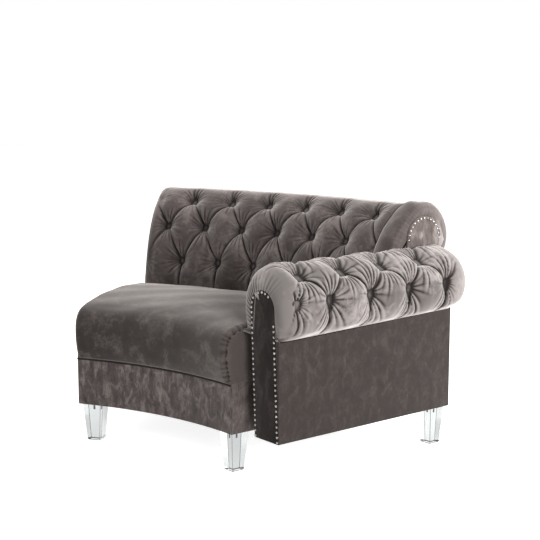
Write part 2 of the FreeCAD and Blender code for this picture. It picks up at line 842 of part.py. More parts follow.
def stacked(place, normal, rings, sides):
    """A many-sided turned solid through rings of (height, radius), with flat faces."""
    start = normal.cross(Z_AXIS if abs(normal.z) < 0.9 else V(1, 0, 0)).normalize()
    spokes = [FreeCAD.Rotation(normal, 360 * i / sides).multVec(start) for i in range(sides)]
    levels = [[place + normal * height + spoke * radius for spoke in spokes] for height, radius in rings]
    outlines = [levels[0], levels[-1]]
    for low, high in zip(levels, levels[1:]):
        for i in range(sides):
            after = (i + 1) % sides
            outlines.append([low[i], low[after], high[after], high[i]])
    faces = [Part.Face(Part.makePolygon(points + points[:1])) for points in outlines]
    return Part.makeSolid(Part.makeShell(faces))


def button(place, normal):
    """A covered button that tapers down to the bottom of its tuft."""
    height, radius = button_height.value, button_radius.value
    return stacked(place, normal, ((0, 2), (height * 0.6, radius), (height, radius * 0.6)), 8)


def arm_buttons():
    nodes = arm_nodes()
    lone = moved(nodes[3], ARM_NORMALS[3], 1.5 - tuft_depth.value)
    buttons = [button(V(lone[0], arm_front.value + front_tuft.value, lone[1]), V(1, 0, 0))]
    for step, y in enumerate(arm_stations()):
        for i in range(4):
            if step % 2 or (step // 2 + i) % 2:
                continue
            normal = V(ARM_NORMALS[i][0], 0, ARM_NORMALS[i][1]).normalize()
            foot = moved(nodes[i], ARM_NORMALS[i], 1.5 - tuft_depth.value)
            blocked = i < 2 and y > pad_radius.value - 60
            if not blocked:
                buttons.append(button(V(foot[0], y, foot[1]), normal))
    return buttons


def nail(place, normal):
    """A low domed nail head."""
    radius = nail_radius.value
    return stacked(place, normal, ((0, radius), (radius * 0.55, radius * 0.5)), 6)


def evenly(start, end, pitch):
    """Values from start to end at about a pitch, both ends kept."""
    steps = max(int(round(abs(end - start) / pitch)), 1)
    return [start + (end - start) * i / steps for i in range(steps + 1)]


def arm_nails():
    """Up the inner edge and over the head, and up the outer edge as far as the roll."""
    middle = float(arm_inside + arm_width / 2 - arm_lean)
    head = arm_arch.value - 2
    low = leg_height.value + nail_margin.value
    spring = arm_spring.value
    face = arm_front.value - 1
    places = []
    for z in evenly(low, spring, nail_pitch.value):
        share = (z - low) / (spring - low)
        places.append((arm_inside.value + share * (middle - head - arm_inside.value), z))
    turn = math.degrees(nail_pitch.value / head)
    for angle in evenly(180 - turn, 55, turn):
        a = math.radians(angle)
        places.append((middle + head * math.cos(a), spring + head * math.sin(a)))
    foot = arm_outside.value - cover.value
    for z in evenly(low, arm_seam.value + 45, nail_pitch.value):
        share = (z - low) / (spring - low)
        places.append((foot + share * (middle + head - foot), z))
    return [nail(V(x, face, z), V(0, -1, 0)) for x, z in places]


def back_nodes():
    """Where the three rows of buttons lie on the back's smooth front, in (radius, height)."""
    top_radius = roll_radius.value + 12
    run = top_radius - pad_radius.value
    rise = back_height.value - top_row_drop.value - seat_edge.value
    shares = zip(ROW_RADII, ROW_LEVELS)
    return [(pad_radius.value + r * run, seat_edge.value + z * rise) for r, z in shares]


def back_line(swell=0.0, ridge=0.0):
    """The back's smooth front from the seat to the top of its roll, in half rows."""
    nodes = [moved(point, normal, swell) for point, normal in zip(back_nodes(), BACK_NORMALS)]
    start = (pad_radius.value, seat_edge.value - 12)
    crest = (roll_radius.value + 12, back_height.value + ridge)
    bulge = tuft_round.value
    return [
        start, halfway(start, nodes[0], bulge), nodes[0], halfway(nodes[0], nodes[1], bulge), nodes[1],
        halfway(nodes[1], nodes[2], bulge), nodes[2], halfway(nodes[2], crest, bulge), crest,
    ]


def back_behind(crest, rear_swell=0.0):
    """The round rear of the roll, from its top down to the seam, as ends and arc middles."""
    rear = (back_radius.value + back_overhang.value + rear_swell, roll_level.value - 10)
    heel = (back_radius.value + 0.5, back_seam.value)
    slant = math.sqrt(0.5)
    rear_middle = (crest[0] + (rear[0] - crest[0]) * slant, rear[1] + (crest[1] - rear[1]) * slant)
    return [rear_middle, rear, halfway(rear, heel, tuft_round.value * 2), heel]


def back_section(place, swell=0.0, ridge=0.0, rear_swell=0.0, inside=None):
    """The smooth outline of the back's pad and roll."""
    low = rail_top.value + deck_gap.value
    line = back_line(swell, ridge)
    behind = back_behind(line[-1], rear_swell)
    inside = inside or roll_radius.value + 10
    points = [(pad_radius.value, low)]
    points += [[p] if i % 2 else p for i, p in enumerate(line)]
    points += [[behind[0]], behind[1], [behind[2]], behind[3], (inside, back_seam.value), (inside, low)]
    return wire_through(points, place)


def tufted_back_section(angle, share=1.0):
    """The tufted outline at one angle, with the foam's outline as its inner side."""
    u = angle / (tuft_pitch.value / 2)
    place = radial(angle)
    line = with_normals(back_line(), [(-1.0, 0.0), *BACK_NORMALS, (0.0, 1.0)])
    section = [(place((pad_radius.value, rail_top.value + deck_gap.value)), 0)]
    for i, (point, normal, row) in enumerate(line):
        edge = min(i, len(line) - 1 - i) / 2
        height = tuft_height(u, row) * share * min(edge, 1)
        section.append((place(moved(point, normal, height)), height))
    crest = line[-1][0]
    rear_middle, rear, under, heel = back_behind(crest)
    upper = halfway(crest, rear_middle, arc_rise(crest, rear_middle, rear))
    lower = halfway(rear_middle, rear, arc_rise(crest, rear_middle, rear))
    inner = core_points()[::-1]
    section += [(place(p), 0) for p in [upper, rear_middle, lower, rear, under, heel, *inner]]
    return section


def arc_rise(start, middle, end):
    """How far half of an arc through three points rises above its own chord."""
    chord = math.dist(start, end)
    bow = math.dist(middle, ((start[0] + end[0]) / 2, (start[1] + end[1]) / 2))
    radius = (chord ** 2 / 4 + bow ** 2) / (2 * bow)
    half = math.dist(start, middle)
    return radius - math.sqrt(radius ** 2 - half ** 2 / 4)


def left_margin():
    """The angle kept free for the plain cover on the open left end."""
    return float(edge_angle(cover + 0.3, pad_radius))


def tuft_quarters():
    """How many quarter pitches of tufting fit before the open end, with one left plain."""
    quarter = tuft_pitch.value / 4
    return int((sweep.value - left_margin() - quarter) / quarter)


def tuft_angles():
    """Angles of the half pitches of the tufting, from the arm towards the open end."""
    half = tuft_pitch.value / 2
    return [half * i for i in range(tuft_quarters() // 2 + 1)]


def back_stations():
    """Angles where a row of buttons, a fold or a pillow has its middle, and the open end's angle."""
    quarter = tuft_pitch.value / 4
    end = sweep.value - left_margin()
    return [quarter * i for i in range(tuft_quarters() + 1)] + [end]


def back_form():
    """The tufted cover: a section at every button, fold and pillow of the curve."""
    angles = back_stations()
    sections = [tufted_back_section(angle) for angle in angles[:-1]]
    return faceted(sections + [tufted_back_section(angles[-1], 0)])


def core_points():
    """The foam's outer outline inside the tufted cover, closed behind the frame."""
    wall = back_wall.value
    nodes = [moved(p, n, -wall) for p, n in zip(back_nodes(), BACK_NORMALS)]
    low = rail_top.value + deck_gap.value
    crest = (roll_radius.value + 12, back_height.value - wall)
    rear = (back_radius.value + back_overhang.value - wall, roll_level.value - 10)
    slant = math.sqrt(0.5)
    rear_middle = (crest[0] + (rear[0] - crest[0]) * slant, rear[1] + (crest[1] - rear[1]) * slant)
    heel = (back_radius.value, back_seam.value + 12)
    front = pad_radius.value + wall + 2
    return [(front, low), (front, seat_edge.value - 12), *nodes, crest, rear_middle, rear, heel]


def burlap_line():
    """The front edge of the uprights, from the seat frame to the head, as (radius, height)."""
    shoulder = rail_top.value + deck_gap.value
    return (post_edge.value - post_lean.value, shoulder), (post_edge.value, roll_level.value)


def back_foam():
    clear = 2.0
    head = head_radius.value + clear
    centre = (roll_radius.value, roll_level.value)
    rear_r = back_outer.value + clear
    rear_z = centre[1] - math.sqrt(head ** 2 - (rear_r - centre[0]) ** 2)
    low, high = burlap_line()
    outside = head / math.cos(math.pi / 8)
    ring = [math.radians(22.5 + 45 * i) for i in range(4)]
    inner = [(rear_r, back_seam.value + 12), (rear_r, rear_z), (centre[0] + outside, centre[1])]
    inner += [(centre[0] + outside * math.cos(a), centre[1] + outside * math.sin(a)) for a in ring]
    inner += [(high[0] - clear - 1, high[1]), (low[0] - clear - 1, low[1])]
    points = core_points() + inner
    return faceted([[(radial(angle)(p), 0) for p in points] for angle in back_stations()])


def end_section(x, swell, inside=None):
    return back_section(beside(x), swell=swell, ridge=swell, rear_swell=swell, inside=inside)


def back_end_form():
    """The smooth puffed end of the back over the arm."""
    width = end_width.value
    puff = end_puff.value
    stations = (
        (0.3, -2), (22, puff * 0.9), (width * 0.55, puff), (width - 14, puff * 0.9), (width + 3, 0),
    )
    return loft([end_section(x, swell) for x, swell in stations])


def back_envelope(gap):
    """The space that the back may fill beside the arm."""
    reach = end_puff.value + gap
    behind = back_radius.value + gap
    return loft([end_section(x, reach, behind) for x in (-150, end_width.value + cover.value)])


def post_outline():
    """An upright of the back: a foot inside the back rail, a leaning front and a round head."""
    heel = back_outer - 0.5
    behind = heel - roll_radius
    start = roll_level - root(head_radius * head_radius - behind * behind)
    shoulder = rail_top + deck_gap
    return [
        (post_toe, frame_bottom), (back_inner - 1, frame_bottom),
        (back_inner - 1, rail_top), (heel, rail_top),
        (heel, start, head_radius), (roll_radius, roll_level + head_radius, head_radius),
        (post_edge, roll_level), (post_edge - post_lean, shoulder), (post_toe, shoulder),
    ]


def root(value):
    return Size(math.sqrt(value.value), "sqrt({})".format(value.text))


def back_rails(extra):
    """The two curved rails that are let into the uprights."""
    half = board / 2
    left = sweep - edge_angle(cover + 1, post_edge) + extra
    right = as_size(0) - extra
    top = sector(roll_radius - half, roll_radius + half, right, left, roll_level + head_radius - 48,
                 roll_level + head_radius - 3)
    waist = sector(post_edge - 8, post_edge - 8 + board, right, left, lumbar_height, lumbar_height + 45)
    return top, waist


def build_back_frame():
    top, waist = back_rails(0)
    placed(top, "back_top_rail")
    placed(waist, "back_waist_rail")
    near = edge_angle(board / 2 + 1, post_edge)
    far = sweep - edge_angle(cover + board / 2 + 1, post_edge)
    for number in range(4):
        turn = near + (far - near) * number / 3
        post = profile_board("YZ_Plane", post_outline(), 0, board, centred=True)
        notched = cut(turned(post, turn), group(list(back_rails(1))))
        placed(notched, "back_upright_{}".format(number + 1))
    end = profile_board("YZ_Plane", post_outline(), end_width - board, board)
    placed(end, "back_end_upright")
    ties = [
        block(0, end_width - board, roll_radius - board / 2, roll_radius + board / 2, z, z + 45)
        for z in (roll_level + 10, lumbar_height + 60)
    ]
    placed(group(ties), "back_end_ties")


def build_back():
    build_back_frame()
    placed(solid_feature(back_form()), "back_tufted_cover")
    placed(solid_feature(back_foam()), "back_foam")
    low, high = burlap_line()
    near, far = 0.5, 2.5
    outline = [
        (low[0] - far, low[1]), (low[0] - near, low[1]),
        (high[0] - near, high[1]), (high[0] - far, high[1]),
    ]
    placed(solid_feature(swept_face(outline, radial(0), 0, sweep.value - left_margin())), "back_burlap")
    gap = edge_angle(cover, back_outer)
    placed(sector(back_outer, back_radius, 0, sweep - gap, leg_height, back_seam), "back_outside_panel")
    flat = block(0, end_width + cover, back_outer, back_radius, leg_height, back_seam)
    placed(flat, "back_end_outside_panel")
    face = Part.Face(back_section(radial(sweep.value), swell=2))
    inward = V(math.cos(math.radians(sweep.value)), math.sin(math.radians(sweep.value)), 0)
    placed(solid_feature(face.extrude(inward * cover.value)), "back_left_end_cover")
    frame_space = profile_board("YZ_Plane", post_outline(), as_size(-1), end_width + 10)
    panel_space = profile_board("YZ_Plane", end_panel_outline(), end_width, cover * 4)
    doc.recompute()
    roll = back_end_form().cut(frame_space.Shape).cut(panel_space.Shape)
    outside = Part.makeBox(end_width.value + 20, cover.value + 2, back_seam.value,
                           V(-1, back_outer.value, 0))
    placed(solid_feature(largest(roll.cut(outside))), "back_end_roll")
    doc.removeObject(frame_space.Name)
    doc.removeObject(panel_space.Name)
    build_back_end_panel()
    placed(solid_feature(Part.makeCompound(back_buttons())), "back_buttons")


def end_panel_outline():
    """An upright panel with a round head that stands just clear of the arm."""
    low = arm_height + 4
    return [
        (roll_radius - end_panel_radius, low), (roll_radius + end_panel_radius, low),
        (roll_radius + end_panel_radius, roll_level, end_panel_radius),
        (roll_radius, roll_level + end_panel_radius, end_panel_radius),
        (roll_radius - end_panel_radius, roll_level),
    ]


def build_back_end_panel():
    """The arched panel on the back's end, above the arm, with its row of nails."""
    placed(profile_board("YZ_Plane", end_panel_outline(), end_width, cover), "back_end_panel")
    ring = end_panel_radius.value - nail_margin.value
    turn = math.degrees(nail_pitch.value / ring)
    face = end_width.value + cover.value
    nails = []
    for angle in evenly(0, 180, turn):
        a = math.radians(angle)
        y = roll_radius.value + ring * math.cos(a)
        nails.append(V(face, y, roll_level.value + ring * math.sin(a)))
    heads = [nail(place, V(1, 0, 0)) for place in nails]
    placed(solid_feature(Part.makeCompound(heads)), "back_nailheads")


def back_buttons():
    buttons = []
    nodes = back_nodes()
    for i, angle in enumerate(tuft_angles()):
        place = radial(angle)
        for row in ((0, 2) if i % 2 else (1,)):
            normal = place(BACK_NORMALS[row]).normalize()
            foot = moved(nodes[row], BACK_NORMALS[row], 1.5 - tuft_depth.value)
            if i > 0:
                buttons.append(button(place(foot), normal))
    return buttons


def centre_on_footprint():
    """Move the whole sofa so that the middle of its footprint is the origin."""
    doc.recompute()
    points = []
    for item in sub_parts:
        points += item.Shape.tessellate(0.5)[0]
    for cell, values in ((shift_x, [p.x for p in points]), (shift_y, [p.y for p in points])):
        alias = cell.text.split(".")[1]
        sheet.set(sheet.getCellFromAlias(alias), "{:.4f}".format(-(min(values) + max(values)) / 2))
    doc.recompute()


def check_and_export():
    for item in doc.Objects:
        if "Invalid" in item.State or "Error" in item.State:
            raise RuntimeError("{} ({}) failed: {}".format(item.Name, item.Label, item.State))
    os.makedirs("parts", exist_ok=True)
    for item in sub_parts:
        if item.Shape.isNull() or not item.Shape.isValid():
            raise RuntimeError("{} has no valid shape".format(item.Label))
    for item in sub_parts:
        item.Shape.exportStep("parts/{}.step".format(item.Label))
    print("sub-parts:", len(sub_parts))


build_legs()
build_seat_frame()
build_webbing()
build_seat()
build_arm()
build_back()
centre_on_footprint()
check_and_export()
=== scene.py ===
# %% [markdown]
# # A curved, tufted sectional sofa module
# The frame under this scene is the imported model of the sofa: its boards, foam, legs and covers. This
# lesson keeps the hidden frame as it is and gives it finishes. It then models every piece that shows:
# the buttoned back, the rolled arm, the crowned seat, the trimmed panels and the clear legs.

# %% Load the frame
import json
import math

import bmesh
import bpy
import numpy as np
from mathutils import Matrix, Vector
from mathutils.bvhtree import BVHTree


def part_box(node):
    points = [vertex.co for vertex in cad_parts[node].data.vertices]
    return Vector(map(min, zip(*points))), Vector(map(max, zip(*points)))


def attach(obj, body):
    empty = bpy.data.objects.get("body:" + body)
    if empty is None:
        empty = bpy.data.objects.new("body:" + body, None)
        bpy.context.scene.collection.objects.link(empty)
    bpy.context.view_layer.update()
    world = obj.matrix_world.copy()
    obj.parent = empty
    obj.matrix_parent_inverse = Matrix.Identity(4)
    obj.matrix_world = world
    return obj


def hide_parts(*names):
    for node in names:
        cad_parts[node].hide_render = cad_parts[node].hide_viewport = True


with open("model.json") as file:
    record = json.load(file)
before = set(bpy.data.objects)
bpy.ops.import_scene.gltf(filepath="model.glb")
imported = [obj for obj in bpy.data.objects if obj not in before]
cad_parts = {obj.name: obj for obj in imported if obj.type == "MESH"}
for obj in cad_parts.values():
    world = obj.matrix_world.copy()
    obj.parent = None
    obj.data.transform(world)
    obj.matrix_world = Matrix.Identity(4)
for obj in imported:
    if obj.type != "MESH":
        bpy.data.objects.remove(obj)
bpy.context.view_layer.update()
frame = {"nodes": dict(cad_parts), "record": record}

# %% [markdown]
# ## One centre for every curve
# The front rail, the seat and the back are arcs about one upright axis. The arm stands where the curve
# ends, so its outer rear corner tells where that axis is. A point of the sofa is then a radius, an
# angle (from the arm towards the open left end) and a height. The arm is straight, so its points are
# given straight from the same centre. All lengths are in metres.

# %% The curve's centre
SWEEP = math.radians(32.7)
ARM_OUTSIDE = 0.176
BACK_OUTSIDE = 1.950
side_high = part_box("arm_outside_panel")[1]
CENTRE = Vector((side_high.x - ARM_OUTSIDE, side_high.y - BACK_OUTSIDE, 0))
print("curve's centre:", tuple(round(c, 4) for c in CENTRE))


def around(radius, angle, height):
    """Model coordinates, as an array, of points given about the curve's centre."""
    radius, angle, height = np.broadcast_arrays(radius, angle, height)
    x = CENTRE.x - radius * np.sin(angle)
    y = CENTRE.y + radius * np.cos(angle)
    return np.stack([x, y, height], -1)


def beside(x, y, height):
    """Model coordinates of points given straight from the curve's centre, as the arm is drawn."""
    x, y, height = np.broadcast_arrays(x, y, height)
    return np.stack([CENTRE.x + x, CENTRE.y + y, height], -1)


# %% [markdown]
# ## The camera
# The photograph is taken from the arm's side, a little above the seat. Its place and lens come from
# matching the legs, the rails and the rows of buttons. A camera looks along its own -Z, so the three
# columns of its turn are the way to the right, the way up and the way back from the sofa.

# %% Camera
LENS_MM, SENSOR_MM = 84.11, 36
CAMERA_PLACE = Vector((3.0646, -1.1268, 1.2667))
camera_data = bpy.data.cameras.new("view")
camera_data.lens = LENS_MM
camera_data.sensor_width = SENSOR_MM
camera_data.clip_end = 50
camera = bpy.data.objects.new("view", camera_data)
bpy.context.scene.collection.objects.link(camera)
back_way = Vector((0.77255, -0.61491, 0.15822)).normalized()
right_way = Vector((0.62276, 0.78241, 0)).normalized()
camera_turn = Matrix((right_way, back_way.cross(right_way), back_way)).transposed().to_4x4()
camera.matrix_world = Matrix.Translation(CENTRE + CAMERA_PLACE) @ camera_turn
bpy.context.scene.camera = camera
print("camera at", tuple(round(c, 3) for c in camera.location))

# %% [markdown]
# ## Node helper and colours
# Every finish is built from shader nodes. One small function adds a node, sets it and links it. Another
# turns the sRGB hex values that a painter would pick into the linear values that light needs. Patterns
# are given by their real width, and a texture's scale is how many of them lie in a metre.

# %% Helpers for finishes


def hex_color(text):
    """A linear colour from an sRGB hex value."""
    channels = [int(text[i:i + 2], 16) / 255 for i in (1, 3, 5)]
    linear = [c / 12.92 if c <= 0.04045 else ((c + 0.055) / 1.055) ** 2.4 for c in channels]
    return (*linear, 1.0)


def per_metre(width_mm):
    """How many cells of a pattern, this many millimetres wide, lie in a metre."""
    return 1000 / width_mm


INPUT_PLACE = {"first": 0, "second": 1, "low_value": 2, "high_value": 3, "from_color": 6, "to_color": 7}


def add_node(tree, kind, settings=None, **links):
    """Add a node; settings name properties, inputs or a ramp's stops, links name inputs to link."""
    node = tree.nodes.new(kind)
    for key, value in (settings or {}).items():
        if key == "stops":
            elements = node.color_ramp.elements
            while len(elements) < len(value):
                elements.new(0.5)
            for element, (place, color) in zip(elements, value):
                element.position = place
                element.color = hex_color(color)
        elif hasattr(node, key):
            setattr(node, key, value)
        else:
            node.inputs[INPUT_PLACE.get(key, key)].default_value = value
    for key, socket in links.items():
        tree.links.new(socket, node.inputs[INPUT_PLACE.get(key, key)])
    return node


def new_material(name):
    """An empty material with its shader, ready for nodes."""
    material = bpy.data.materials.new(name)
    material.use_nodes = True
    tree = material.node_tree
    return material, tree, tree.nodes["Principled BSDF"]


print("a 25 mm pattern has", per_metre(25), "cells in a metre")

# %% [markdown]
# ## Velvet
# The cover is a woven cotton velvet with a short upright pile. Pile looks dark when the eye looks
# straight into it and pale where it is seen from the side, which the shader's sheen does. Hands brush
# the pile this way and that, so soft patches, 17 to 143 mm wide, are lighter or darker, and finer
# strokes run through them. The pile itself is far too fine to show, so its grain is drawn coarser, about
# 1.5 mm wide. Painted shade darkens each fold almost to black, and a painted highlight makes each
# ridge pale: each padded mesh carries a `fold` value for that. A photograph of velvet could be pasted
# on instead, but it would carry its own light with it, and it would not follow these folds.

# %% Velvet
GRAIN_MM = 1.5385
STROKE_SHARE = 0.3
HALF_SPREAD = 0.17
PAINTED_FOLD_SHADE = "#120e0d"
LIT_PILE = "#ece4e0"


def velvet(name, deep, mid, pale, sheen, patch_mm=111.111, stretch=(1, 1, 1), contrast=1.0):
    """Velvet whose brushed patches run from deep to pale."""
    material, tree, shader = new_material(name)
    place = add_node(tree, "ShaderNodeTexCoord").outputs["Object"]
    mapping = add_node(tree, "ShaderNodeMapping", {"Scale": stretch}, Vector=place).outputs["Vector"]
    broad = {"Scale": per_metre(patch_mm), "Detail": 4.0, "Roughness": 0.62, "Distortion": 0.5}
    fine = {"Scale": per_metre(patch_mm / 5), "Detail": 3.0, "Roughness": 0.7, "Distortion": 1.2}
    patches = add_node(tree, "ShaderNodeTexNoise", broad, Vector=mapping)
    strokes = add_node(tree, "ShaderNodeTexNoise", fine, Vector=mapping)
    brushed = add_node(tree, "ShaderNodeMix", {"data_type": "FLOAT", "Factor": STROKE_SHARE},
                       low_value=patches.outputs["Fac"], high_value=strokes.outputs["Fac"])
    low, high = 0.5 - HALF_SPREAD / contrast, 0.5 + HALF_SPREAD / contrast
    color = add_node(tree, "ShaderNodeValToRGB", {"stops": [(low, deep), (0.5, mid), (high, pale)]},
                     Fac=brushed.outputs[0]).outputs["Color"]
    folds = add_node(tree, "ShaderNodeAttribute", {"attribute_name": "fold"}).outputs["Fac"]
    # Painted shade in the folds, near black, and a painted highlight on the ridges, in the pale tone.
    for full, most, tint in ((1.0, 0.95, PAINTED_FOLD_SHADE), (-1.0, 0.6, pale)):
        amount = add_node(tree, "ShaderNodeMapRange", {"From Max": full, "To Max": most}, Value=folds)
        color = add_node(tree, "ShaderNodeMix", {"data_type": "RGBA", "to_color": hex_color(tint)},
                         Factor=amount.outputs["Result"], from_color=color).outputs[2]
    tree.links.new(color, shader.inputs["Base Color"])
    pile = {"Scale": per_metre(GRAIN_MM), "Detail": 2.0, "Roughness": 0.6}
    grain = add_node(tree, "ShaderNodeTexNoise", pile, Vector=place)
    bump = add_node(tree, "ShaderNodeBump", {"Strength": 0.25, "Distance": 0.0008},
                    Height=grain.outputs["Fac"])
    tree.links.new(bump.outputs["Normal"], shader.inputs["Normal"])
    shader.inputs["Roughness"].default_value = 0.9
    shader.inputs["IOR"].default_value = 1.45
    shader.inputs["Specular IOR Level"].default_value = 0.15
    shader.inputs["Sheen Weight"].default_value = sheen
    shader.inputs["Sheen Roughness"].default_value = 0.42
    shader.inputs["Sheen Tint"].default_value = hex_color(LIT_PILE)
    return material


print("pile drawn", GRAIN_MM, "mm wide")

# %% [markdown]
# ## One velvet, in lit and shaded copies
# It is one cloth all over, but each group of pieces gets its own deep, middle and pale tone, and its own
# width of patch: it is dark on the upright front panel, pale and lively on the arm, and streaked on the
# rails. Part of that is the pile lying another way on each piece, and part is painted light and shade.

# %% The sofa's velvets
UPRIGHT = (1, 1, 0.5)
# Painted light and shade in these tones: the seat, the sides, the front panel, the piping and the buttons
# get darker copies, and the arm, the rail and the ends paler ones.
body_velvet = velvet("velvet_body", "#342d2b", "#4b4341", "#756c69", 1.0)
seat_velvet = velvet("velvet_seat", "#231e1d", "#302a28", "#5f5754", 0.9, 76.923)
rail_velvet = velvet("velvet_rail", "#362f2d", "#534b49", "#817875", 0.55, 25, UPRIGHT)
arm_velvet = velvet("velvet_arm", "#282220", "#3c3533", "#a39c99", 1.0, 142.857, contrast=0.85)
side_velvet = velvet("velvet_side", "#27211f", "#342e2c", "#4f4845", 0.35, 29.4118, (1, 1, 0.7), 0.5)
# The piping's velvet is a dark copy: painted shade for the seam it lies in.
seam_shade_velvet = velvet("velvet_seam_shade", "#1a1614", "#241e1c", "#332c29", 0.1)
# The front panel's velvet is a darker copy: painted shade.
shaded_panel_velvet = velvet("velvet_panel_shade", "#110d0c", "#1d1816", "#37302e", 0.25, 38.4615, UPRIGHT)
# The buttons' velvet is a dark copy: painted shade for the pits they sit in.
button_shade_velvet = velvet("velvet_button_shade", "#1f1a18", "#332c2a", "#6a625f", 0.8, 16.6667)
end_velvet = velvet("velvet_end", "#3f3735", "#645b58", "#9a918e", 1.0, 62.5, UPRIGHT)
print("velvets:", [m.name for m in bpy.data.materials if m.name.startswith("velvet")])

# %% [markdown]
# ## Clear legs and plated nails
# The legs are cast acrylic: colourless, polished and slightly softer in its reflections than glass.
# Its cut edges look grey, because the eye looks along the block there, so the mesh marks them and the
# finish paints that as shade: greyer and less clear than the faces, which get a faint grey tint too. The
# nails are nickel-plated steel with rounded heads, and the fasteners inside are zinc-plated: bright
# metal with faint handling marks about 4 mm wide.

# %% Acrylic and metal


def clear_acrylic():
    """Acrylic with painted shade on its cut edges, marked on the mesh: they are greyer and less clear than
    its faces.
    """
    material, tree, shader = new_material("cast_acrylic")
    place = add_node(tree, "ShaderNodeTexCoord").outputs["Object"]
    edges = add_node(tree, "ShaderNodeAttribute", {"attribute_name": "edge"}).outputs["Fac"]
    color = add_node(tree, "ShaderNodeValToRGB", {"stops": [(0.0, "#d9dcdc"), (1.0, "#7d7672")]}, Fac=edges)
    tree.links.new(color.outputs["Color"], shader.inputs["Base Color"])
    clear = add_node(tree, "ShaderNodeMapRange", {"To Min": 1.0, "To Max": 0.25}, Value=edges)
    tree.links.new(clear.outputs["Result"], shader.inputs["Transmission Weight"])
    shader.inputs["IOR"].default_value = 1.49
    haze = add_node(tree, "ShaderNodeTexNoise", {"Scale": per_metre(16.6667), "Detail": 2.0}, Vector=place)
    spread = add_node(tree, "ShaderNodeMapRange", {"To Min": 0.0, "To Max": 0.04},
                      Value=haze.outputs["Fac"])
    tree.links.new(spread.outputs["Result"], shader.inputs["Roughness"])
    return material


def plated_metal(name, dark, light, rough):
    """Plated steel with faint handling marks."""
    material, tree, shader = new_material(name)
    place = add_node(tree, "ShaderNodeTexCoord").outputs["Object"]
    marks = add_node(tree, "ShaderNodeTexNoise", {"Scale": per_metre(4.16667), "Detail": 3.0}, Vector=place)
    color = add_node(tree, "ShaderNodeValToRGB", {"stops": [(0.35, dark), (0.65, light)]},
                     Fac=marks.outputs["Fac"])
    tree.links.new(color.outputs["Color"], shader.inputs["Base Color"])
    worn = add_node(tree, "ShaderNodeMapRange", {"To Min": rough * 0.7, "To Max": rough * 1.4},
                    Value=marks.outputs["Fac"])
    tree.links.new(worn.outputs["Result"], shader.inputs["Roughness"])
    shader.inputs["Metallic"].default_value = 1.0
    return material


acrylic = clear_acrylic()
nickel = plated_metal("nickel_plate", "#6d6964", "#b9b4ae", 0.26)
zinc = plated_metal("zinc_plated_steel", "#55575a", "#8a8d90", 0.35)
print("hard finishes:", acrylic.name, nickel.name, zinc.name)

# %% [markdown]
# ## The hidden materials
# Inside are sawn beech, pale foam, jute webbing, burlap and a black non-woven lining. Beech has a fine
# grain of long cells. Cloths and foam are drawn from one pattern of cells, as wide as the real threads
# or pores are: a sunk cell reads as a hole in foam or as the gap between threads, and painted shade
# darkens it.

# %% Wood, cloths and foam


def sawn_beech():
    """Beech boards: a fine grain about 2 mm wide, in cells about 18 mm long."""
    material, tree, shader = new_material("sawn_beech")
    place = add_node(tree, "ShaderNodeTexCoord").outputs["Object"]
    cells = (per_metre(17.8571), per_metre(17.8571), per_metre(2.38095))
    mapping = add_node(tree, "ShaderNodeMapping", {"Scale": cells}, Vector=place)
    grain = add_node(tree, "ShaderNodeTexNoise", {"Scale": 1.0, "Detail": 6.0, "Distortion": 0.8},
                     Vector=mapping.outputs["Vector"])
    color = add_node(tree, "ShaderNodeValToRGB",
                     {"stops": [(0.3, "#9c7a52"), (0.5, "#c49f70"), (0.7, "#d8b98c")]},
                     Fac=grain.outputs["Fac"])
    tree.links.new(color.outputs["Color"], shader.inputs["Base Color"])
    bump = add_node(tree, "ShaderNodeBump", {"Strength": 0.2, "Distance": 0.001},
                    Height=grain.outputs["Fac"])
    tree.links.new(bump.outputs["Normal"], shader.inputs["Normal"])
    shader.inputs["Roughness"].default_value = 0.65
    return material


def rough_cloth(name, dark, light, spacing_mm, depth):
    """A plain cloth or foam: cells at the spacing of its threads or pores."""
    material, tree, shader = new_material(name)
    place = add_node(tree, "ShaderNodeTexCoord").outputs["Object"]
    weave = add_node(tree, "ShaderNodeTexVoronoi", {"Scale": per_metre(spacing_mm), "Randomness": 0.35},
                     Vector=place).outputs["Distance"]
    # The colour darkens where the cell sinks: painted shade in the pores and gaps.
    color = add_node(tree, "ShaderNodeValToRGB", {"stops": [(0.1, light), (0.7, dark)]}, Fac=weave)
    tree.links.new(color.outputs["Color"], shader.inputs["Base Color"])
    bump = add_node(tree, "ShaderNodeBump", {"Strength": 0.6, "Distance": depth, "invert": True},
                    Height=weave)
    tree.links.new(bump.outputs["Normal"], shader.inputs["Normal"])
    shader.inputs["Roughness"].default_value = 0.92
    return material


finishes = {
    "clear_plastic": acrylic,
    "steel": zinc,
    "frame_wood": sawn_beech(),
    "lining": rough_cloth("black_lining", "#0b0b0b", "#1b1a1a", 1.2, 0.0003),
    "webbing": rough_cloth("jute_webbing", "#6a563a", "#a38c63", 2.5, 0.0008),
    "burlap": rough_cloth("burlap", "#6f5a3c", "#b39a70", 3.0, 0.001),
    "foam": rough_cloth("open_cell_foam", "#cfc49c", "#efe7c9", 1.8, 0.0006),
    "cover_velvet": body_velvet,
    "nail_metal": nickel,
}
for row in frame["record"]["subparts"]:
    data = frame["nodes"][row["node"]].data
    data.materials.clear()
    data.materials.append(finishes[row["material_slot"]])

# %% [markdown]
# ## Showing a piece
# A finished mesh becomes a piece: it rides on the sofa's one body, names its finish and hides the frame
# node that it stands for. A padded piece also learns where its folds are. Its mesh is smoothed as if
# the folds were ironed out, and a point that lies below the smoothed mesh is in a fold, where shade is
# painted; a point above it is on a ridge, where a highlight is painted. Whole areas can be painted
# paler or darker afterwards.

# %% Pieces and their folds
IRONING_ROUNDS = 24


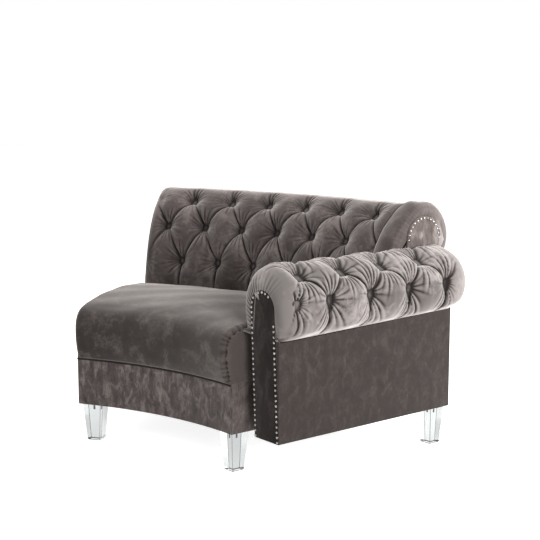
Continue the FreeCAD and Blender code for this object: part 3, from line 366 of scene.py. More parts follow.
def mark_fold_shading(mesh, full):
    """Store how deep each point lies below the smoothed mesh, 1 in a fold and -1 on a ridge: painted shade
    and highlight.
    """
    count = len(mesh.vertices)
    edges = np.empty(len(mesh.edges) * 2, int)
    mesh.edges.foreach_get("vertices", edges)
    edges = edges.reshape(-1, 2)
    ends = np.concatenate([edges[:, 0], edges[:, 1]])
    others = np.concatenate([edges[:, 1], edges[:, 0]])
    points, normals = np.empty(count * 3), np.empty(count * 3)
    mesh.vertices.foreach_get("co", points)
    mesh.vertices.foreach_get("normal", normals)
    points, normals = points.reshape(-1, 3), normals.reshape(-1, 3)
    degree = np.maximum(np.bincount(ends, minlength=count), 1)
    smoothed = points.copy()
    for _ in range(IRONING_ROUNDS):
        sums = [np.bincount(ends, smoothed[others, axis], minlength=count) for axis in range(3)]
        smoothed = 0.5 * smoothed + 0.5 * np.stack(sums, -1) / degree[:, None]
    depth = np.einsum("ij,ij->i", smoothed - points, normals)
    fold = mesh.attributes.new("fold", "FLOAT", "POINT")
    fold.data.foreach_set("value", np.clip(depth / full, -1, 1))


def show(name, bm, material, nodes, smooth=True, folds=None):
    """Turn a bmesh into a piece that stands for its frame nodes."""
    mesh = bpy.data.meshes.new(name)
    bm.to_mesh(mesh)
    bm.free()
    mesh.materials.append(material)
    for polygon in mesh.polygons:
        polygon.use_smooth = smooth
    if folds:
        mark_fold_shading(mesh, folds)
    piece = bpy.data.objects.new(name, mesh)
    bpy.context.scene.collection.objects.link(piece)
    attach(piece, "root")
    if nodes:
        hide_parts(*nodes)
    print(name, len(mesh.polygons), "faces")
    return piece


def paint_paler_or_darker(piece, paler):
    """Paint a padded piece paler where paler(points) is above 0, and darker where it is below."""
    points = np.array([v.co for v in piece.data.vertices])
    folds = piece.data.attributes["fold"].data
    values = np.empty(len(folds))
    folds.foreach_get("value", values)
    folds.foreach_set("value", np.clip(values - paler(points), -1, 1))


# %% [markdown]
# ## Wrapping a sheet
# A padded piece could be blown up by a cloth simulation, but deep tufts are pulled in place by hand, fold
# by fold, so here they are placed by formula. The piece starts as a flat grid from an operator. Each grid
# point is then moved to its place, which is how an upholsterer wraps a sheet, and the sheet's edges are
# welded and capped, so that the piece is a closed form. Its section is a line through a few knots: smooth
# on the outside that shows, and straight from knot to knot on the inside.

# %% Sheets and lines


def wrapped_grid(columns, rows, place):
    """A closed bmesh: a grid whose points go to place(columns, rows), welded and capped."""
    bm = bmesh.new()
    bmesh.ops.create_grid(bm, x_segments=len(columns) - 1, y_segments=len(rows) - 1, size=0.5)
    points = np.array([v.co for v in bm.verts])
    across = np.rint((points[:, 0] + 0.5) * (len(columns) - 1)).astype(int)
    along = np.rint((points[:, 1] + 0.5) * (len(rows) - 1)).astype(int)
    where = place(np.asarray(columns)[across], np.asarray(rows)[along])
    numbers = np.empty((len(columns), len(rows)), int)
    numbers[across, along] = np.arange(len(points))
    where[numbers[:, -1]] = where[numbers[:, 0]]
    for vert, target in zip(bm.verts, where):
        vert.co = target
    bmesh.ops.remove_doubles(bm, verts=bm.verts, dist=1e-5)
    bmesh.ops.holes_fill(bm, edges=[e for e in bm.edges if e.is_boundary], sides=0)
    bmesh.ops.recalc_face_normals(bm, faces=bm.faces)
    return bm


def smooth_line(knots, at):
    """Points and outward normals on a smooth line through knots of (place, a, b)."""
    knots = np.asarray(knots, float)
    t, line = knots[:, 0], knots[:, 1:]
    slope = np.gradient(line, t, axis=0)
    at = np.clip(at, t[0], t[-1])
    i = np.clip(np.searchsorted(t, at, side="right") - 1, 0, len(t) - 2)
    step = (t[i + 1] - t[i])[..., None]
    s = ((at - t[i])[..., None]) / step
    a, b, ma, mb = line[i], line[i + 1], slope[i] * step, slope[i + 1] * step
    point = (2 * s**3 - 3 * s**2 + 1) * a + (s**3 - 2 * s**2 + s) * ma
    point = point + (3 * s**2 - 2 * s**3) * b + (s**3 - s**2) * mb
    rate = (6 * s**2 - 6 * s) * (a - b) + (3 * s**2 - 4 * s + 1) * ma + (3 * s**2 - 2 * s) * mb
    normal = np.stack([-rate[..., 1], rate[..., 0]], -1)
    return point, normal / np.maximum(np.linalg.norm(normal, axis=-1, keepdims=True), 1e-9)


def straight_line(knots, at):
    """Points on a line that runs straight from knot to knot of (place, a, b)."""
    place, *sides = np.asarray(knots, float).T
    return np.stack([np.interp(at, place, side) for side in sides], -1)


def rising(value, start, width):
    """0 up to start, 1 from start + width on, and even between."""
    return np.clip((value - start) / width, 0, 1)


def falling(value, end, width):
    """1 up to end - width, 0 from end on, and even between."""
    return np.clip((end - value) / width, 0, 1)


def crease(distance, width):
    """1 on a line, going softly to 0 away from it."""
    return np.exp(-((distance / width) ** 2))


print("one width away from its line, a crease has gone down to", round(float(crease(1.0, 1.0)), 2))

# %% [markdown]
# ## How tufts are formed
# A deep-buttoned pad is a sheet of foam with staggered buttons pulled down through it. The cloth is
# cut too large on purpose, and the spare cloth is tucked into folds that run from button to button.
# So each diamond is a plump pillow, its edges are creases, and fine puckers spread from each button,
# most of them up and down, where the spare cloth is. Here `u` counts half pitches along the pad and
# `v` counts rows up it; buttons sit where both are whole and their sum is odd.

# %% Tufts
PLEAT_HEIGHT = 0.0085
FUNNEL_WIDTH = 0.027
FOAM_FLOOR = -0.0165
rng = np.random.default_rng(7)


def puckers(u, v, button, cell, reach, stretch, depth):
    """One button's funnel, with the pleats that spread from it, most of them up and down the pad."""
    dx, dy = (u - button[0]) * cell[0], (v - button[1]) * cell[1]
    near = np.hypot(dx, dy * stretch) < reach * 1.3
    dx, dy = dx[near], dy[near] * stretch
    far = np.hypot(dx, dy)
    angle = np.arctan2(dy, dx)
    turn = rng.uniform(0, 6.28, 5)
    length = reach * (0.85 + 0.35 * np.sin(3 * angle + turn[0]) * np.sin(5 * angle + turn[1]))
    rise = rising(far, 0.003, 0.015) * np.clip(1 - far / length, 0, 1)
    upright = (0.2 + 0.8 * np.abs(np.sin(angle)) ** 2.5) * (0.8 + 0.35 * np.sin(7 * angle + turn[3]))
    bend = 0.9 * np.sin(2 * angle + turn[2]) + 7.0 * far * np.sin(turn[3])
    waves = 2 * np.abs(np.sin(10 * angle + turn[4] + bend)) ** 0.7 - 1.2
    lift = np.zeros_like(u)
    lift[near] = PLEAT_HEIGHT * rise * upright * waves - depth * np.exp(-((far / FUNNEL_WIDTH) ** 1.3))
    return lift


def tufted(u, v, rows, swell, cell, buttons, reach, stretch=1.0, depth=0.034):
    """Height of a tufted pad over its smooth form, in metres."""
    inside = np.clip(v, rows[0], rows[1])
    dp, dq = np.abs((u + inside) % 2 - 1), np.abs((u - inside) % 2 - 1)
    soft_p, soft_q = (np.sqrt(d * d + 0.012) - 0.11 for d in (dp, dq))
    plump = np.clip((1 - (1 - soft_p) ** 2.0) * (1 - (1 - soft_q) ** 2.0), 0, 1)
    height = swell * (0.45 + 0.55 * plump ** 0.8)
    width = cell[0] * 0.8
    sharp = np.clip(1 - (inside % 1) * 1.15, 0, 1) ** 0.8
    height -= (0.001 + 0.009 * sharp) * crease(dq * width, 0.0042)
    height -= 0.0035 * crease(dp * width, 0.006)
    for button in buttons:
        height += puckers(u, v, button, cell, reach, stretch, depth)
    return np.maximum(height, FOAM_FLOOR)


def staggered(u_range, v_range):
    """Places of the buttons in half pitches and rows."""
    return [(u, v) for u in range(*u_range) for v in range(*v_range) if (u + v) % 2]


back_buttons_at = staggered((1, 14), (0, 3))
arm_buttons_at = staggered((1, 10), (0, 4))
print("tufts:", len(back_buttons_at), "on the back,", len(arm_buttons_at), "on the arm")

# %% [markdown]
# ## The back
# The back leans away from the seat, rolls over at the top and ends in a seam behind. Its smooth form
# is one line of (radius, height) that is swept round the curve; the tufts stand on its front from the
# seat to the top of the roll. A modelled single tuft could be repeated, but then all would be alike, so
# the whole back is one sheet. Its inner side follows the foam, which makes it a thick closed cover.

# %% Back
PITCH = math.radians(5.05)
BACK_LINE = [
    (-1.5, 1.706, 0.300), (-1.0, 1.702, 0.455), (-0.5, 1.709, 0.506), (0, 1.720, 0.556),
    (0.5, 1.739, 0.620), (1, 1.765, 0.680), (1.5, 1.796, 0.730), (2, 1.833, 0.768), (2.5, 1.866, 0.795),
    (3, 1.906, 0.808), (3.4, 1.952, 0.801), (3.8, 1.995, 0.762), (4.2, 2.013, 0.700), (4.6, 1.998, 0.645),
    (5.0, 1.953, 0.602),
]
BACK_INNER = [
    (5.0, 1.953, 0.602), (5.2, 1.951, 0.613), (5.4, 1.993, 0.690), (5.6, 1.967, 0.757),
    (5.8, 1.905, 0.780), (6.0, 1.850, 0.745), (6.2, 1.790, 0.668), (6.4, 1.745, 0.550),
    (6.6, 1.730, 0.454), (6.8, 1.730, 0.300), (7.0, 1.706, 0.300),
]
REAR_SEAM = 5.0
BACK_CELL = (0.078, 0.120)
back_rows = np.concatenate([
    np.linspace(-1.5, -1.1, 5), np.linspace(-1.08, 3.2, 168), np.linspace(3.24, REAR_SEAM, 34),
    np.linspace(5.1, 7.0, 20),
])
back_end = SWEEP - 0.0055 / 1.70
back_columns = np.linspace(0.0003, back_end, 340)


def back_place(angle, v):
    """Where a point of the back's sheet goes, by its angle and its row."""
    outer, normal = smooth_line(BACK_LINE, v)
    u = angle / (PITCH / 2)
    height = tufted(u, v, (0, 2), 0.017, BACK_CELL, back_buttons_at, 0.088)
    beside_button = np.abs(np.abs(u % 2 - 1) * BACK_CELL[0] - 0.004 - 0.016 * (v - 2))
    crest_fold = crease(beside_button, 0.004) * rising(v, 2, 0.1) * falling(v, 3.0, 0.4)
    height = np.maximum(height - 0.011 * crest_fold, FOAM_FLOOR)
    plain_edges = rising(v, -1.15, 0.6) * falling(v, 2.95, 0.8)
    height = height * plain_edges * np.clip((back_end - angle) / math.radians(1.2), 0, 1)
    left = np.clip(1 - (back_end - angle) * 1.8 / 0.026, 0, 1)
    height -= 0.008 * (1 - np.sqrt(1 - left ** 2)) * (v < REAR_SEAM)
    right = np.clip(angle / math.radians(0.7), 0, 1)
    height -= 0.010 * (1 - right) ** 2 * (v < REAR_SEAM)
    outside = (v <= REAR_SEAM)[:, None]
    line = np.where(outside, outer + normal * height[:, None], straight_line(BACK_INNER, v))
    return around(line[:, 0], angle, line[:, 1])


back = show("back_cover", wrapped_grid(back_columns, back_rows, back_place), body_velvet,
            ["back_tufted_cover"], folds=0.0021)

# %% [markdown]
# ## The back's open end
# The left end stands against the next module. Its cloth goes on round the edge from the back's cover
# and closes the end with a plain flat face, down to the seat's height. It is a short sheet with the
# back's own section, so that the two meet exactly.

# %% Open end
END_LEVEL = 0.2915
END_FOOT = [
    (5.0, 1.953, 0.602), (5.2, 1.9505, 0.592), (6.4, 1.9505, END_LEVEL), (7.0, 1.706, END_LEVEL),
]


def open_end_place(step, v):
    """Where a point of the open end goes, by its step from the back's cover to the flat face."""
    outer, normal = smooth_line(BACK_LINE, v)
    rounded = outer - normal * (0.008 + 0.008 * step**2)[:, None]
    line = np.where((v <= REAR_SEAM)[:, None], rounded, straight_line(END_FOOT, v))
    angle = back_end + (SWEEP - back_end) * np.sin(step * math.pi / 2)
    return around(line[:, 0], angle, np.where(v < -1.45, END_LEVEL, line[:, 1]))


open_end = wrapped_grid(np.linspace(0, 1, 6), back_rows[::2], open_end_place)
show("back_open_end", open_end, body_velvet, ["back_left_end_cover"])

# %% [markdown]
# ## The back's plain end
# Over the arm the back ends in a smooth puffed roll without buttons. It swells away from the tufted
# cover, then rounds over to the arched panel on its end. It has the back's section again, and a second
# line says how far it stands out of that section on the way from the cover to the panel. Near the panel
# the cloth is gathered a little and drawn in behind the panel's edge.

# %% Back end
END_PUFF = [
    (0.0, 0.0008, -0.014), (0.06, 0.002, -0.003), (0.16, 0.010, 0.006), (0.35, 0.030, 0.013),
    (0.55, 0.056, 0.014), (0.75, 0.078, 0.009), (0.88, 0.091, -0.002), (0.96, 0.0965, -0.014),
    (1.0, 0.097, -0.030),
]
DRAWN_AT = [0, 1.6, 2.4, 2.9, 3.3, 5.0]
DRAWN_BY = [0.012, 0.012, 0.004, 0.006, 0.014, 0.014]
end_rows = np.concatenate([np.linspace(-1.5, REAR_SEAM, 150), np.linspace(5.1, 7.0, 20)])


def end_place(step, v):
    """Where a point of the plain end goes, by its step from the tufted cover to the panel."""
    outer, normal = smooth_line(BACK_LINE, v)
    puff, _ = smooth_line(END_PUFF, step)
    soft = 0.0012 * np.sin(v * 9 + 3 * step) * np.sin(step * math.pi)
    gathers = 0.0011 * np.sin(v * 46) * rising(step, 0.7, 0.3)
    drawn_in = np.interp(v, DRAWN_AT, DRAWN_BY) * rising(step, 0.85, 0.15)
    puffed = puff[:, 1] + soft + gathers - drawn_in
    outside = (v <= REAR_SEAM)[:, None]
    line = np.where(outside, outer + normal * puffed[:, None], straight_line(BACK_INNER, v))
    return beside(puff[:, 0], line[:, 0], line[:, 1])


back_end_piece = show("back_end", wrapped_grid(np.linspace(0, 1, 46), end_rows, end_place), body_velvet,
                      ["back_end_roll"], folds=0.0024)

# %% [markdown]
# ## The arm's lines
# The arm is a roll on a narrow upright frame. Two rows of buttons show on its outer half and two more
# lie on its inner half. Its section is a round line with a flat underside, and a second, smaller line
# is the edge of the front panel, which the cloth rounds over to. One more button sits by itself near the
# front edge.

# %% Arm's lines
ARM_LINE = [
    (-1.0, -0.006, 0.452), (-0.5, -0.016, 0.508), (0, -0.015, 0.563), (0.5, 0.007, 0.615),
    (1, 0.043, 0.648), (1.5, 0.115, 0.672), (2, 0.189, 0.652), (2.5, 0.228, 0.619), (3, 0.244, 0.572),
    (3.5, 0.233, 0.502), (4.0, 0.178, 0.451),
]
ARM_UNDER = [
    (4.0, 0.178, 0.451), (4.2, 0.170, 0.470), (4.4, 0.120, 0.475), (4.7, 0.010, 0.470),
    (5.0, -0.006, 0.452),
]
PANEL_LINE = [
    (-1.0, 0.058, 0.452), (0, 0.044, 0.530), (0.5, 0.047, 0.568), (1, 0.067, 0.590), (1.5, 0.100, 0.596),
    (2, 0.130, 0.586), (2.5, 0.150, 0.560), (3, 0.155, 0.530), (3.5, 0.164, 0.490), (4.0, 0.171, 0.451),
]
ARM_FRONT, ARM_REAR = 1.205, 1.960
ARM_ROUND = 0.040
ARM_CELL = (0.084, 0.100)
FIRST_BUTTON = 1.277
ARM_SEAM = 4.0
SEAM_CLIMB = 0.018
LONE_BUTTON = ((ARM_FRONT + 0.026 - FIRST_BUTTON) / ARM_CELL[0] + 1, 3)
arm_rows = np.concatenate([np.linspace(-1, ARM_SEAM, 236), np.linspace(4.1, 5.0, 12)])
cap_turns = np.linspace(math.pi / 2, 0.06, 18)
arm_columns = np.concatenate([-cap_turns, np.linspace(0, 1, 216), 2 + cap_turns[::-1]])
print("arm's sheet:", len(arm_columns), "by", len(arm_rows), "points")

# %% [markdown]
# ## The arm
# The sheet of the arm runs from the front panel to the rear. A step below 0 turns round the front edge, 0
# to 1 runs along the arm, and a step above 2 turns round the rear end, which is smooth and swollen. The
# seam under the roll climbs a little towards the rear. Where the arm meets the back, its inner side is
# pressed flat. A painted highlight makes the rear end pale, and painted shade darkens the roll along the
# seam.

# %% Arm
BACK_SIDE = 0.1035


def arm_rise(y):
    """How much the seam under the roll has climbed."""
    return SEAM_CLIMB * np.clip((y - ARM_FRONT - 0.05) / 0.7, 0, 1)


def arm_height(y, v):
    """How far the tufts and puckers stand out of the arm's round line."""
    u = (y - FIRST_BUTTON) / ARM_CELL[0] + 1
    height = tufted(u, v, (0, 3), 0.015, ARM_CELL, arm_buttons_at, 0.098, 0.75)
    fade = rising(v, -1, 0.6) * falling(v, ARM_SEAM, 0.35)
    fade = fade * np.clip((y - ARM_FRONT - 0.004) / 0.02, 0, 1) * falling(y, ARM_REAR - 0.03, 0.06)
    at_front = y < 1.262
    height = np.where(at_front, height * rising(y, 1.2, 0.062), height)
    lone = puckers(u, v, LONE_BUTTON, ARM_CELL, 0.07, 0.9, 0.030)
    height = np.where(at_front, np.maximum(height + lone, -0.012), height + lone)
    return height * fade


def arm_place(step, v):
    """Where a point of the arm's sheet goes, by its step from front to rear and its row."""
    outer, normal = smooth_line(ARM_LINE, v)
    panel, _ = smooth_line(PANEL_LINE, v)
    under = straight_line(ARM_UNDER, v)
    start, end = ARM_FRONT + ARM_ROUND, ARM_REAR - ARM_ROUND
    front_turn, rear_turn = np.clip(-step, 0, None), np.clip(step - 2, 0, None)
    y = start + np.clip(step, 0, 1) * (end - start)
    y = y - ARM_ROUND * np.sin(front_turn) + ARM_ROUND * np.sin(rear_turn)
    line = outer + normal * arm_height(y, v)[:, None]
    line[:, 1] += arm_rise(y) * np.clip(v - 3, 0, 1)
    line = line + (panel - line) * (1 - np.cos(front_turn))[:, None]
    swollen = 0.007 * rising(y, 1.86, 0.06) * rising(v, -1, 1) * falling(v, ARM_SEAM, 0.8)
    held = 0.25 + 0.75 * falling(v, ARM_SEAM, 0.5)
    line = line + normal * (swollen - 0.036 * (1 - np.cos(rear_turn)) * held)[:, None]
    y = y - 0.0012 * np.sin(v * 40) * np.sin(front_turn) ** 2 * np.clip(2.2 - v, 0, 1)
    under[:, 1] += arm_rise(y)
    line = np.where((v <= ARM_SEAM)[:, None], line, under)
    x, z = line[:, 0], line[:, 1]
    back_front, _ = smooth_line([(k[2], k[1], k[0]) for k in BACK_LINE[:10]], z)
    pressed = (y > back_front[:, 0] - 0.004) & (x < BACK_SIDE)
    x = np.where(pressed, BACK_SIDE, x)
    z = np.where(pressed & (y > 1.93), np.maximum(z, 0.488), z)
    return beside(x, y, z)


def above_seam(points):
    """How far points of the arm lie above a line just over its seam."""
    return points[:, 2] - 0.463 - arm_rise(points[:, 1] - CENTRE.y)


arm = show("arm_roll", wrapped_grid(arm_columns, arm_rows, arm_place), arm_velvet, ["arm_tufted_roll"],
           folds=0.0012)
# Painted highlight: the arm's rear end is painted pale, for the sheen on it.
paint_paler_or_darker(arm, lambda points: rising(points[:, 1] - CENTRE.y, 1.87, 0.06))
# Painted shade: the roll is painted dark just above its seam.
paint_paler_or_darker(arm, lambda points: -falling(above_seam(points), 0, 0.008))

# %% [markdown]
# ## The seat
# The seat is tight: its cloth is drawn over a thick slab and sewn to the rail below. The top is
# crowned, the front edge is round, and both ends are drawn in. At the right front corner the cloth is
# boxed, with a short upright seam whose spare cloth is gathered. A box with rounded edges would look
# hard, so this too is a wrapped sheet, with shallow dents where people sat.

# %% Seat
SEAT_LEVEL = 0.2925
SEAT_LINE = [
    (0.0, 1.1545, SEAT_LEVEL), (0.35, 1.149, 0.300), (0.8, 1.140, 0.328), (1.3, 1.133, 0.378),
    (1.7, 1.137, 0.424), (2.1, 1.158, 0.454), (2.6, 1.205, 0.471), (3.3, 1.300, 0.482),
    (4.2, 1.440, 0.486), (5.2, 1.590, 0.478), (5.8, 1.690, 0.464), (6.0, 1.700, 0.458),
]
SEAT_UNDER = [
    (6.0, 1.700, 0.458), (6.3, 1.700, 0.300), (6.5, 1.600, 0.294), (6.9, 1.200, 0.294),
    (7.0, 1.1545, SEAT_LEVEL),
]
SEAT_REAR = 6.0
RIGHT_ROUND, LEFT_ROUND = 0.030, 0.014
CORNER_SEAM = 0.8
seat_rows = np.concatenate([np.linspace(0, SEAT_REAR, 150), np.linspace(6.1, 7.0, 16)])
seat_turns = np.linspace(math.pi / 2, 0.05, 16)
seat_columns = np.concatenate([-seat_turns, np.linspace(0, 1, 200), 2 + seat_turns[::-1]])


def seat_place(step, v):
    """Where a point of the seat's sheet goes, by its step from the arm to the open end and its row."""
    outer, normal = smooth_line(SEAT_LINE, v)
    right_turn, left_turn = np.clip(-step, 0, None), np.clip(step - 2, 0, None)
    share = np.clip(step, 0, 1)
    along_arc = RIGHT_ROUND + share * (SWEEP * outer[:, 0] - RIGHT_ROUND - LEFT_ROUND)
    along_arc = along_arc - RIGHT_ROUND * np.sin(right_turn) + LEFT_ROUND * np.sin(left_turn)
    inward = 1.1 * RIGHT_ROUND * (1 - np.cos(right_turn)) + 1.1 * LEFT_ROUND * (1 - np.cos(left_turn))
    crown = 0.004 * np.sin(math.pi * share) * crease(v - 4, 1.6)
    dents = 0.0015 * np.sin(along_arc * 23 + v * 1.7) * np.sin(v * 1.9 + along_arc * 6)
    seam = 0.0055 * crease(right_turn - CORNER_SEAM, 0.10) * falling(v, 2.8, 0.4)
    nearby = crease(right_turn - CORNER_SEAM, 0.55) * (right_turn > 0) * (v < 3)
    gathers = 0.0021 * np.sin(v * 30 + 2 * np.sin(v * 7)) * nearby
    held = np.clip(v / 0.5, 0, 1)
    line = outer + normal * ((crown + dents + gathers - seam - inward) * held)[:, None]
    line = np.where((v <= SEAT_REAR)[:, None], line, straight_line(SEAT_UNDER, v))
    line[:, 1] = np.maximum(line[:, 1], SEAT_LEVEL)
    return around(line[:, 0], along_arc / outer[:, 0], line[:, 1])


seat = show("seat", wrapped_grid(seat_columns, seat_rows, seat_place), seat_velvet, ["seat_cover"],
            folds=0.0024)
# The seat's right end, by the arm, is painted paler.
paint_paler_or_darker(seat, lambda points: rising(points[:, 0] - CENTRE.x, -0.014, 0.012))

# %% [markdown]
# ## Curved panels and the seat's piping
# The front rail and the outside of the back are covered boards that follow the curve, with soft edges
# where the cloth turns over thin card. The piping between the rail and the seat is a thin round cord in
# a strip of the same cloth, in a darker copy that paints the shade of the seam. All three have one
# section along their whole length, so an operator spins that section about the curve's centre.

# %% Curved strips
RAIL_LOW = 0.1302
PIPING_RADIUS = 0.0030


def spun_strip(section, end, steps):
    """A closed strip: a section of (radius, height) spun about the curve's centre, from the arm on."""
    bm = bmesh.new()
    radii, heights = np.array(section).T
    verts = [bm.verts.new(corner) for corner in around(radii, 0, heights)]
    loop = [bm.edges.new((a, b)) for a, b in zip(verts, verts[1:] + verts[:1])]
    bmesh.ops.spin(bm, geom=verts + loop, cent=CENTRE, axis=(0, 0, 1), angle=end, steps=steps)
    bmesh.ops.holes_fill(bm, edges=[e for e in bm.edges if e.is_boundary], sides=0)
    bmesh.ops.recalc_face_normals(bm, faces=bm.faces)
    return bm


def soft_section(inner, outer, low, high, round_by):
    """The corners of an upright strip, rounded on its inner, visible edges."""
    arc = [math.radians(a) for a in (0, 30, 60, 90)]
    bottom = [(inner + round_by * (1 - math.sin(a)), low + round_by * (1 - math.cos(a))) for a in arc]
    top = [(inner + round_by * (1 - math.cos(a)), high - round_by * (1 - math.sin(a))) for a in arc]
    return [(outer, low), *bottom, *top, (outer, high)]


rail_section = soft_section(1.1555, 1.162, RAIL_LOW, 0.2905, 0.005)
show("front_rail_panel", spun_strip(rail_section, SWEEP, 64), rail_velvet, ["front_rail_cover"])
facing_in = soft_section(BACK_OUTSIDE, 1.955, RAIL_LOW, 0.605, 0.004)
rear_section = [(2 * BACK_OUTSIDE - radius + 0.0005, height) for radius, height in facing_in]
show("back_outside", spun_strip(rear_section, SWEEP - 0.0012, 64), side_velvet, ["back_outside_panel"])
ring = [math.radians(30 * i) for i in range(12)]
piping = [(1.1545 + PIPING_RADIUS * math.cos(a), 0.2898 + PIPING_RADIUS * math.sin(a)) for a in ring]
show("seat_piping", spun_strip(piping, SWEEP, 72), seam_shade_velvet, ["seat_welt"])

# %% [markdown]
# ## Piping over the arm's side
# A straight piece of piping lies in the seam between the roll and the plain side. It climbs with the
# seam, so it is a long thin cylinder, tilted by that climb.

# %% Arm's piping
side_low, side_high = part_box("arm_outside_panel")
bm = bmesh.new()
length = side_high.y - side_low.y - 0.004
middle = Matrix.Translation((side_high.x - 0.001, (side_low.y + side_high.y) / 2, side_high.z + 0.0085))
climb = Matrix.Rotation(math.pi / 2 + math.atan(SEAM_CLIMB / length), 4, "X")
bmesh.ops.create_cone(bm, cap_ends=True, segments=12, radius1=0.0028, radius2=0.0028, depth=length,
                      matrix=middle @ climb)
# Its dark velvet paints the shade of the seam.
show("arm_side_piping", bm, seam_shade_velvet, [])

# %% [markdown]
# ## Where the cloth of a panel goes on
# On the real sofa the cloth of a flat panel goes on out of sight under the next cover. So some edges are
# drawn out a little here: the side's cloth wraps round the arm's front corner, the front panel's inner
# edge wraps back over its board, and the rear covers reach up into their seams. Each entry says which
# points of a panel move, by the panel's lowest and highest corners, and how far.

# %% Edges that are drawn out
NEAR = 0.001
FOLD_LINE = 0.0004


def at_top(p, low, high):
    """A point of the panel's upper edge."""
    return p.z > high.z - NEAR


def at_rear_top(p, low, high):
    """A point under the arm's roll, at its rear."""
    return p.z > 0.44 and p.y > 0


DRAWN_OUT = {
    "arm_front_panel": [
        (lambda p, low, high: p.y - CENTRE.y > 1.2085 and p.x - CENTRE.x < 0.064 and p.z < 0.46,
         (0, 0.020, 0)),
    ],
    "arm_outside_panel": [
        (lambda p, low, high: p.y < low.y + FOLD_LINE / 2, (0, -0.0045, 0)),
        (lambda p, low, high: p.y < low.y - NEAR and p.x < low.x + NEAR, (-0.020, 0, 0)),
        (at_rear_top, (0, 0, 0.018)),
    ],
    "arm_rear_panel": [
        (at_rear_top, (0, 0, 0.041)),
        (lambda p, low, high: at_rear_top(p, low, high) and p.x < low.x + NEAR, (-0.005, 0, 0)),
    ],
    "right_return_cover": [
        (lambda p, low, high: p.y < low.y + NEAR, (0, -0.004, 0)),
        (at_top, (0, 0, 0.004)),
    ],
    "left_end_cover": [(at_top, (0, 0, 0.004))],
    "back_end_outside_panel": [(at_top, (0, 0, 0.004))],
    "back_end_panel": [
        (lambda p, low, high: p.z < low.z + NEAR, (0, 0, -0.105)),
        (lambda p, low, high: p.z < low.z - NEAR and p.y - CENTRE.y > 1.9, (0, -0.028, 0)),
    ],
}
print("edges drawn out on", len(DRAWN_OUT), "panels")

# %% [markdown]
# ## Flat panels
# The flat covers are cloth over board or card. They could be drawn again, but their frame nodes have the
# right outline already, so each is copied, and its edges are rounded as cloth rounds them.

# %% Flat panels
CLOTH_TURN = 0.0022
# Painted light and shade come with these velvets: the front panel and the sides are darker copies, the
# right return and the arched end panel paler ones.
PANELS = {
    "arm_front_panel": (shaded_panel_velvet, CLOTH_TURN), "arm_outside_panel": (side_velvet, CLOTH_TURN),
    "arm_rear_panel": (side_velvet, CLOTH_TURN), "arm_gap_cover": (side_velvet, 0.002),
    "right_return_cover": (end_velvet, CLOTH_TURN), "left_end_cover": (rail_velvet, CLOTH_TURN),
    "back_end_outside_panel": (side_velvet, CLOTH_TURN), "back_end_panel": (end_velvet, CLOTH_TURN),
}


def frame_copy(node):
    """A welded bmesh of a frame node, with its flat faces whole."""
    bm = bmesh.new()
    bm.from_mesh(frame["nodes"][node].data)
    bmesh.ops.remove_doubles(bm, verts=bm.verts, dist=1e-5)
    bmesh.ops.dissolve_limit(bm, angle_limit=math.radians(0.5), verts=bm.verts, edges=bm.edges)
    return bm


def soft_edges(bm, width, segments=3, least=40):
    """Round the edges where faces meet at more than an angle."""
    sharp = [e for e in bm.edges if e.is_manifold and e.calc_face_angle(0) > math.radians(least)]
    bmesh.ops.bevel(bm, geom=sharp, offset=width, offset_type="OFFSET", segments=segments, profile=0.5,
                    affect="EDGES", clamp_overlap=True, material=-1)
    return bm


for node, (material, width) in PANELS.items():
    bm = frame_copy(node)
    low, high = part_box(node)
    if node == "arm_outside_panel":
        bmesh.ops.bisect_plane(bm, geom=[*bm.verts, *bm.edges, *bm.faces],
                               plane_co=(0, low.y + FOLD_LINE, 0), plane_no=(0, 1, 0))
    for chosen, shift in DRAWN_OUT.get(node, []):
        bmesh.ops.translate(bm, verts=[v for v in bm.verts if chosen(v.co, low, high)], vec=shift)
    show(node + "_cloth", soft_edges(bm, width), material, [node])

# %% [markdown]
# ## Legs
# Each leg is a solid block of acrylic with polished, slightly chamfered edges. The block is its frame
# node with a narrow bevel. The small faces of the bevel are marked, so that the finish can paint shade
# on them in grey: without it a clear leg would be lost before a white floor.

# %% Legs
CHAMFER = 0.0024
LARGEST_EDGE_FACE = 0.0008
for place in ("front_left", "rear_left", "front_right", "rear_right"):
    node = "leg_" + place
    block = soft_edges(frame_copy(node), CHAMFER, 1, 12)
    edge = block.faces.layers.float.new("edge")
    for face in block.faces:
        face[edge] = 1.0 if face.calc_area() < LARGEST_EDGE_FACE else 0.0
    show(node + "_block", block, acrylic, [node], smooth=False)

# %% [markdown]
# ## Studs
# A dark threaded stud shows inside the top of each clear leg. Its outline zigzags at the thread's pitch
# and an operator spins it, which gives rings. A true helix would look the same at this size.

# %% Studs
THREAD_PITCH = 0.00125
CREST, ROOT = 0.985, 0.84


def islands(node):
    """The separate solids of a frame node, in a steady order, each as an array of its points."""
    bm = frame_copy(node)
    waiting = dict.fromkeys(bm.verts)
    found = []
    while waiting:
        to_visit = [waiting.popitem()[0]]
        members = []
        while to_visit:
            vert = to_visit.pop()
            members.append(vert.co.copy())
            for edge in vert.link_edges:
                other = edge.other_vert(vert)
                if other in waiting:
                    del waiting[other]
                    to_visit.append(other)
        found.append(np.array(members))
    bm.free()
    return found


def threaded_bar(low, high, radius):
    """A turned bar whose outline has the ridges of a thread."""
    middle = (low + high) / 2
    count = int((high.z - low.z) / THREAD_PITCH)
    heights = np.linspace(low.z + 0.0004, high.z - 0.0004, 2 * count + 1)
    bm = bmesh.new()
    verts = []
    for i, z in enumerate(heights):
        verts.append(bm.verts.new((middle.x + radius * (CREST if i % 2 else ROOT), middle.y, z)))
    outline = [bm.edges.new(pair) for pair in zip(verts, verts[1:])]
    bmesh.ops.spin(bm, geom=verts + outline, cent=middle, axis=(0, 0, 1), angle=2 * math.pi, steps=14,
                   use_merge=True)
    bmesh.ops.holes_fill(bm, edges=[e for e in bm.edges if e.is_boundary], sides=0)
    bmesh.ops.recalc_face_normals(bm, faces=bm.faces)
    return bm


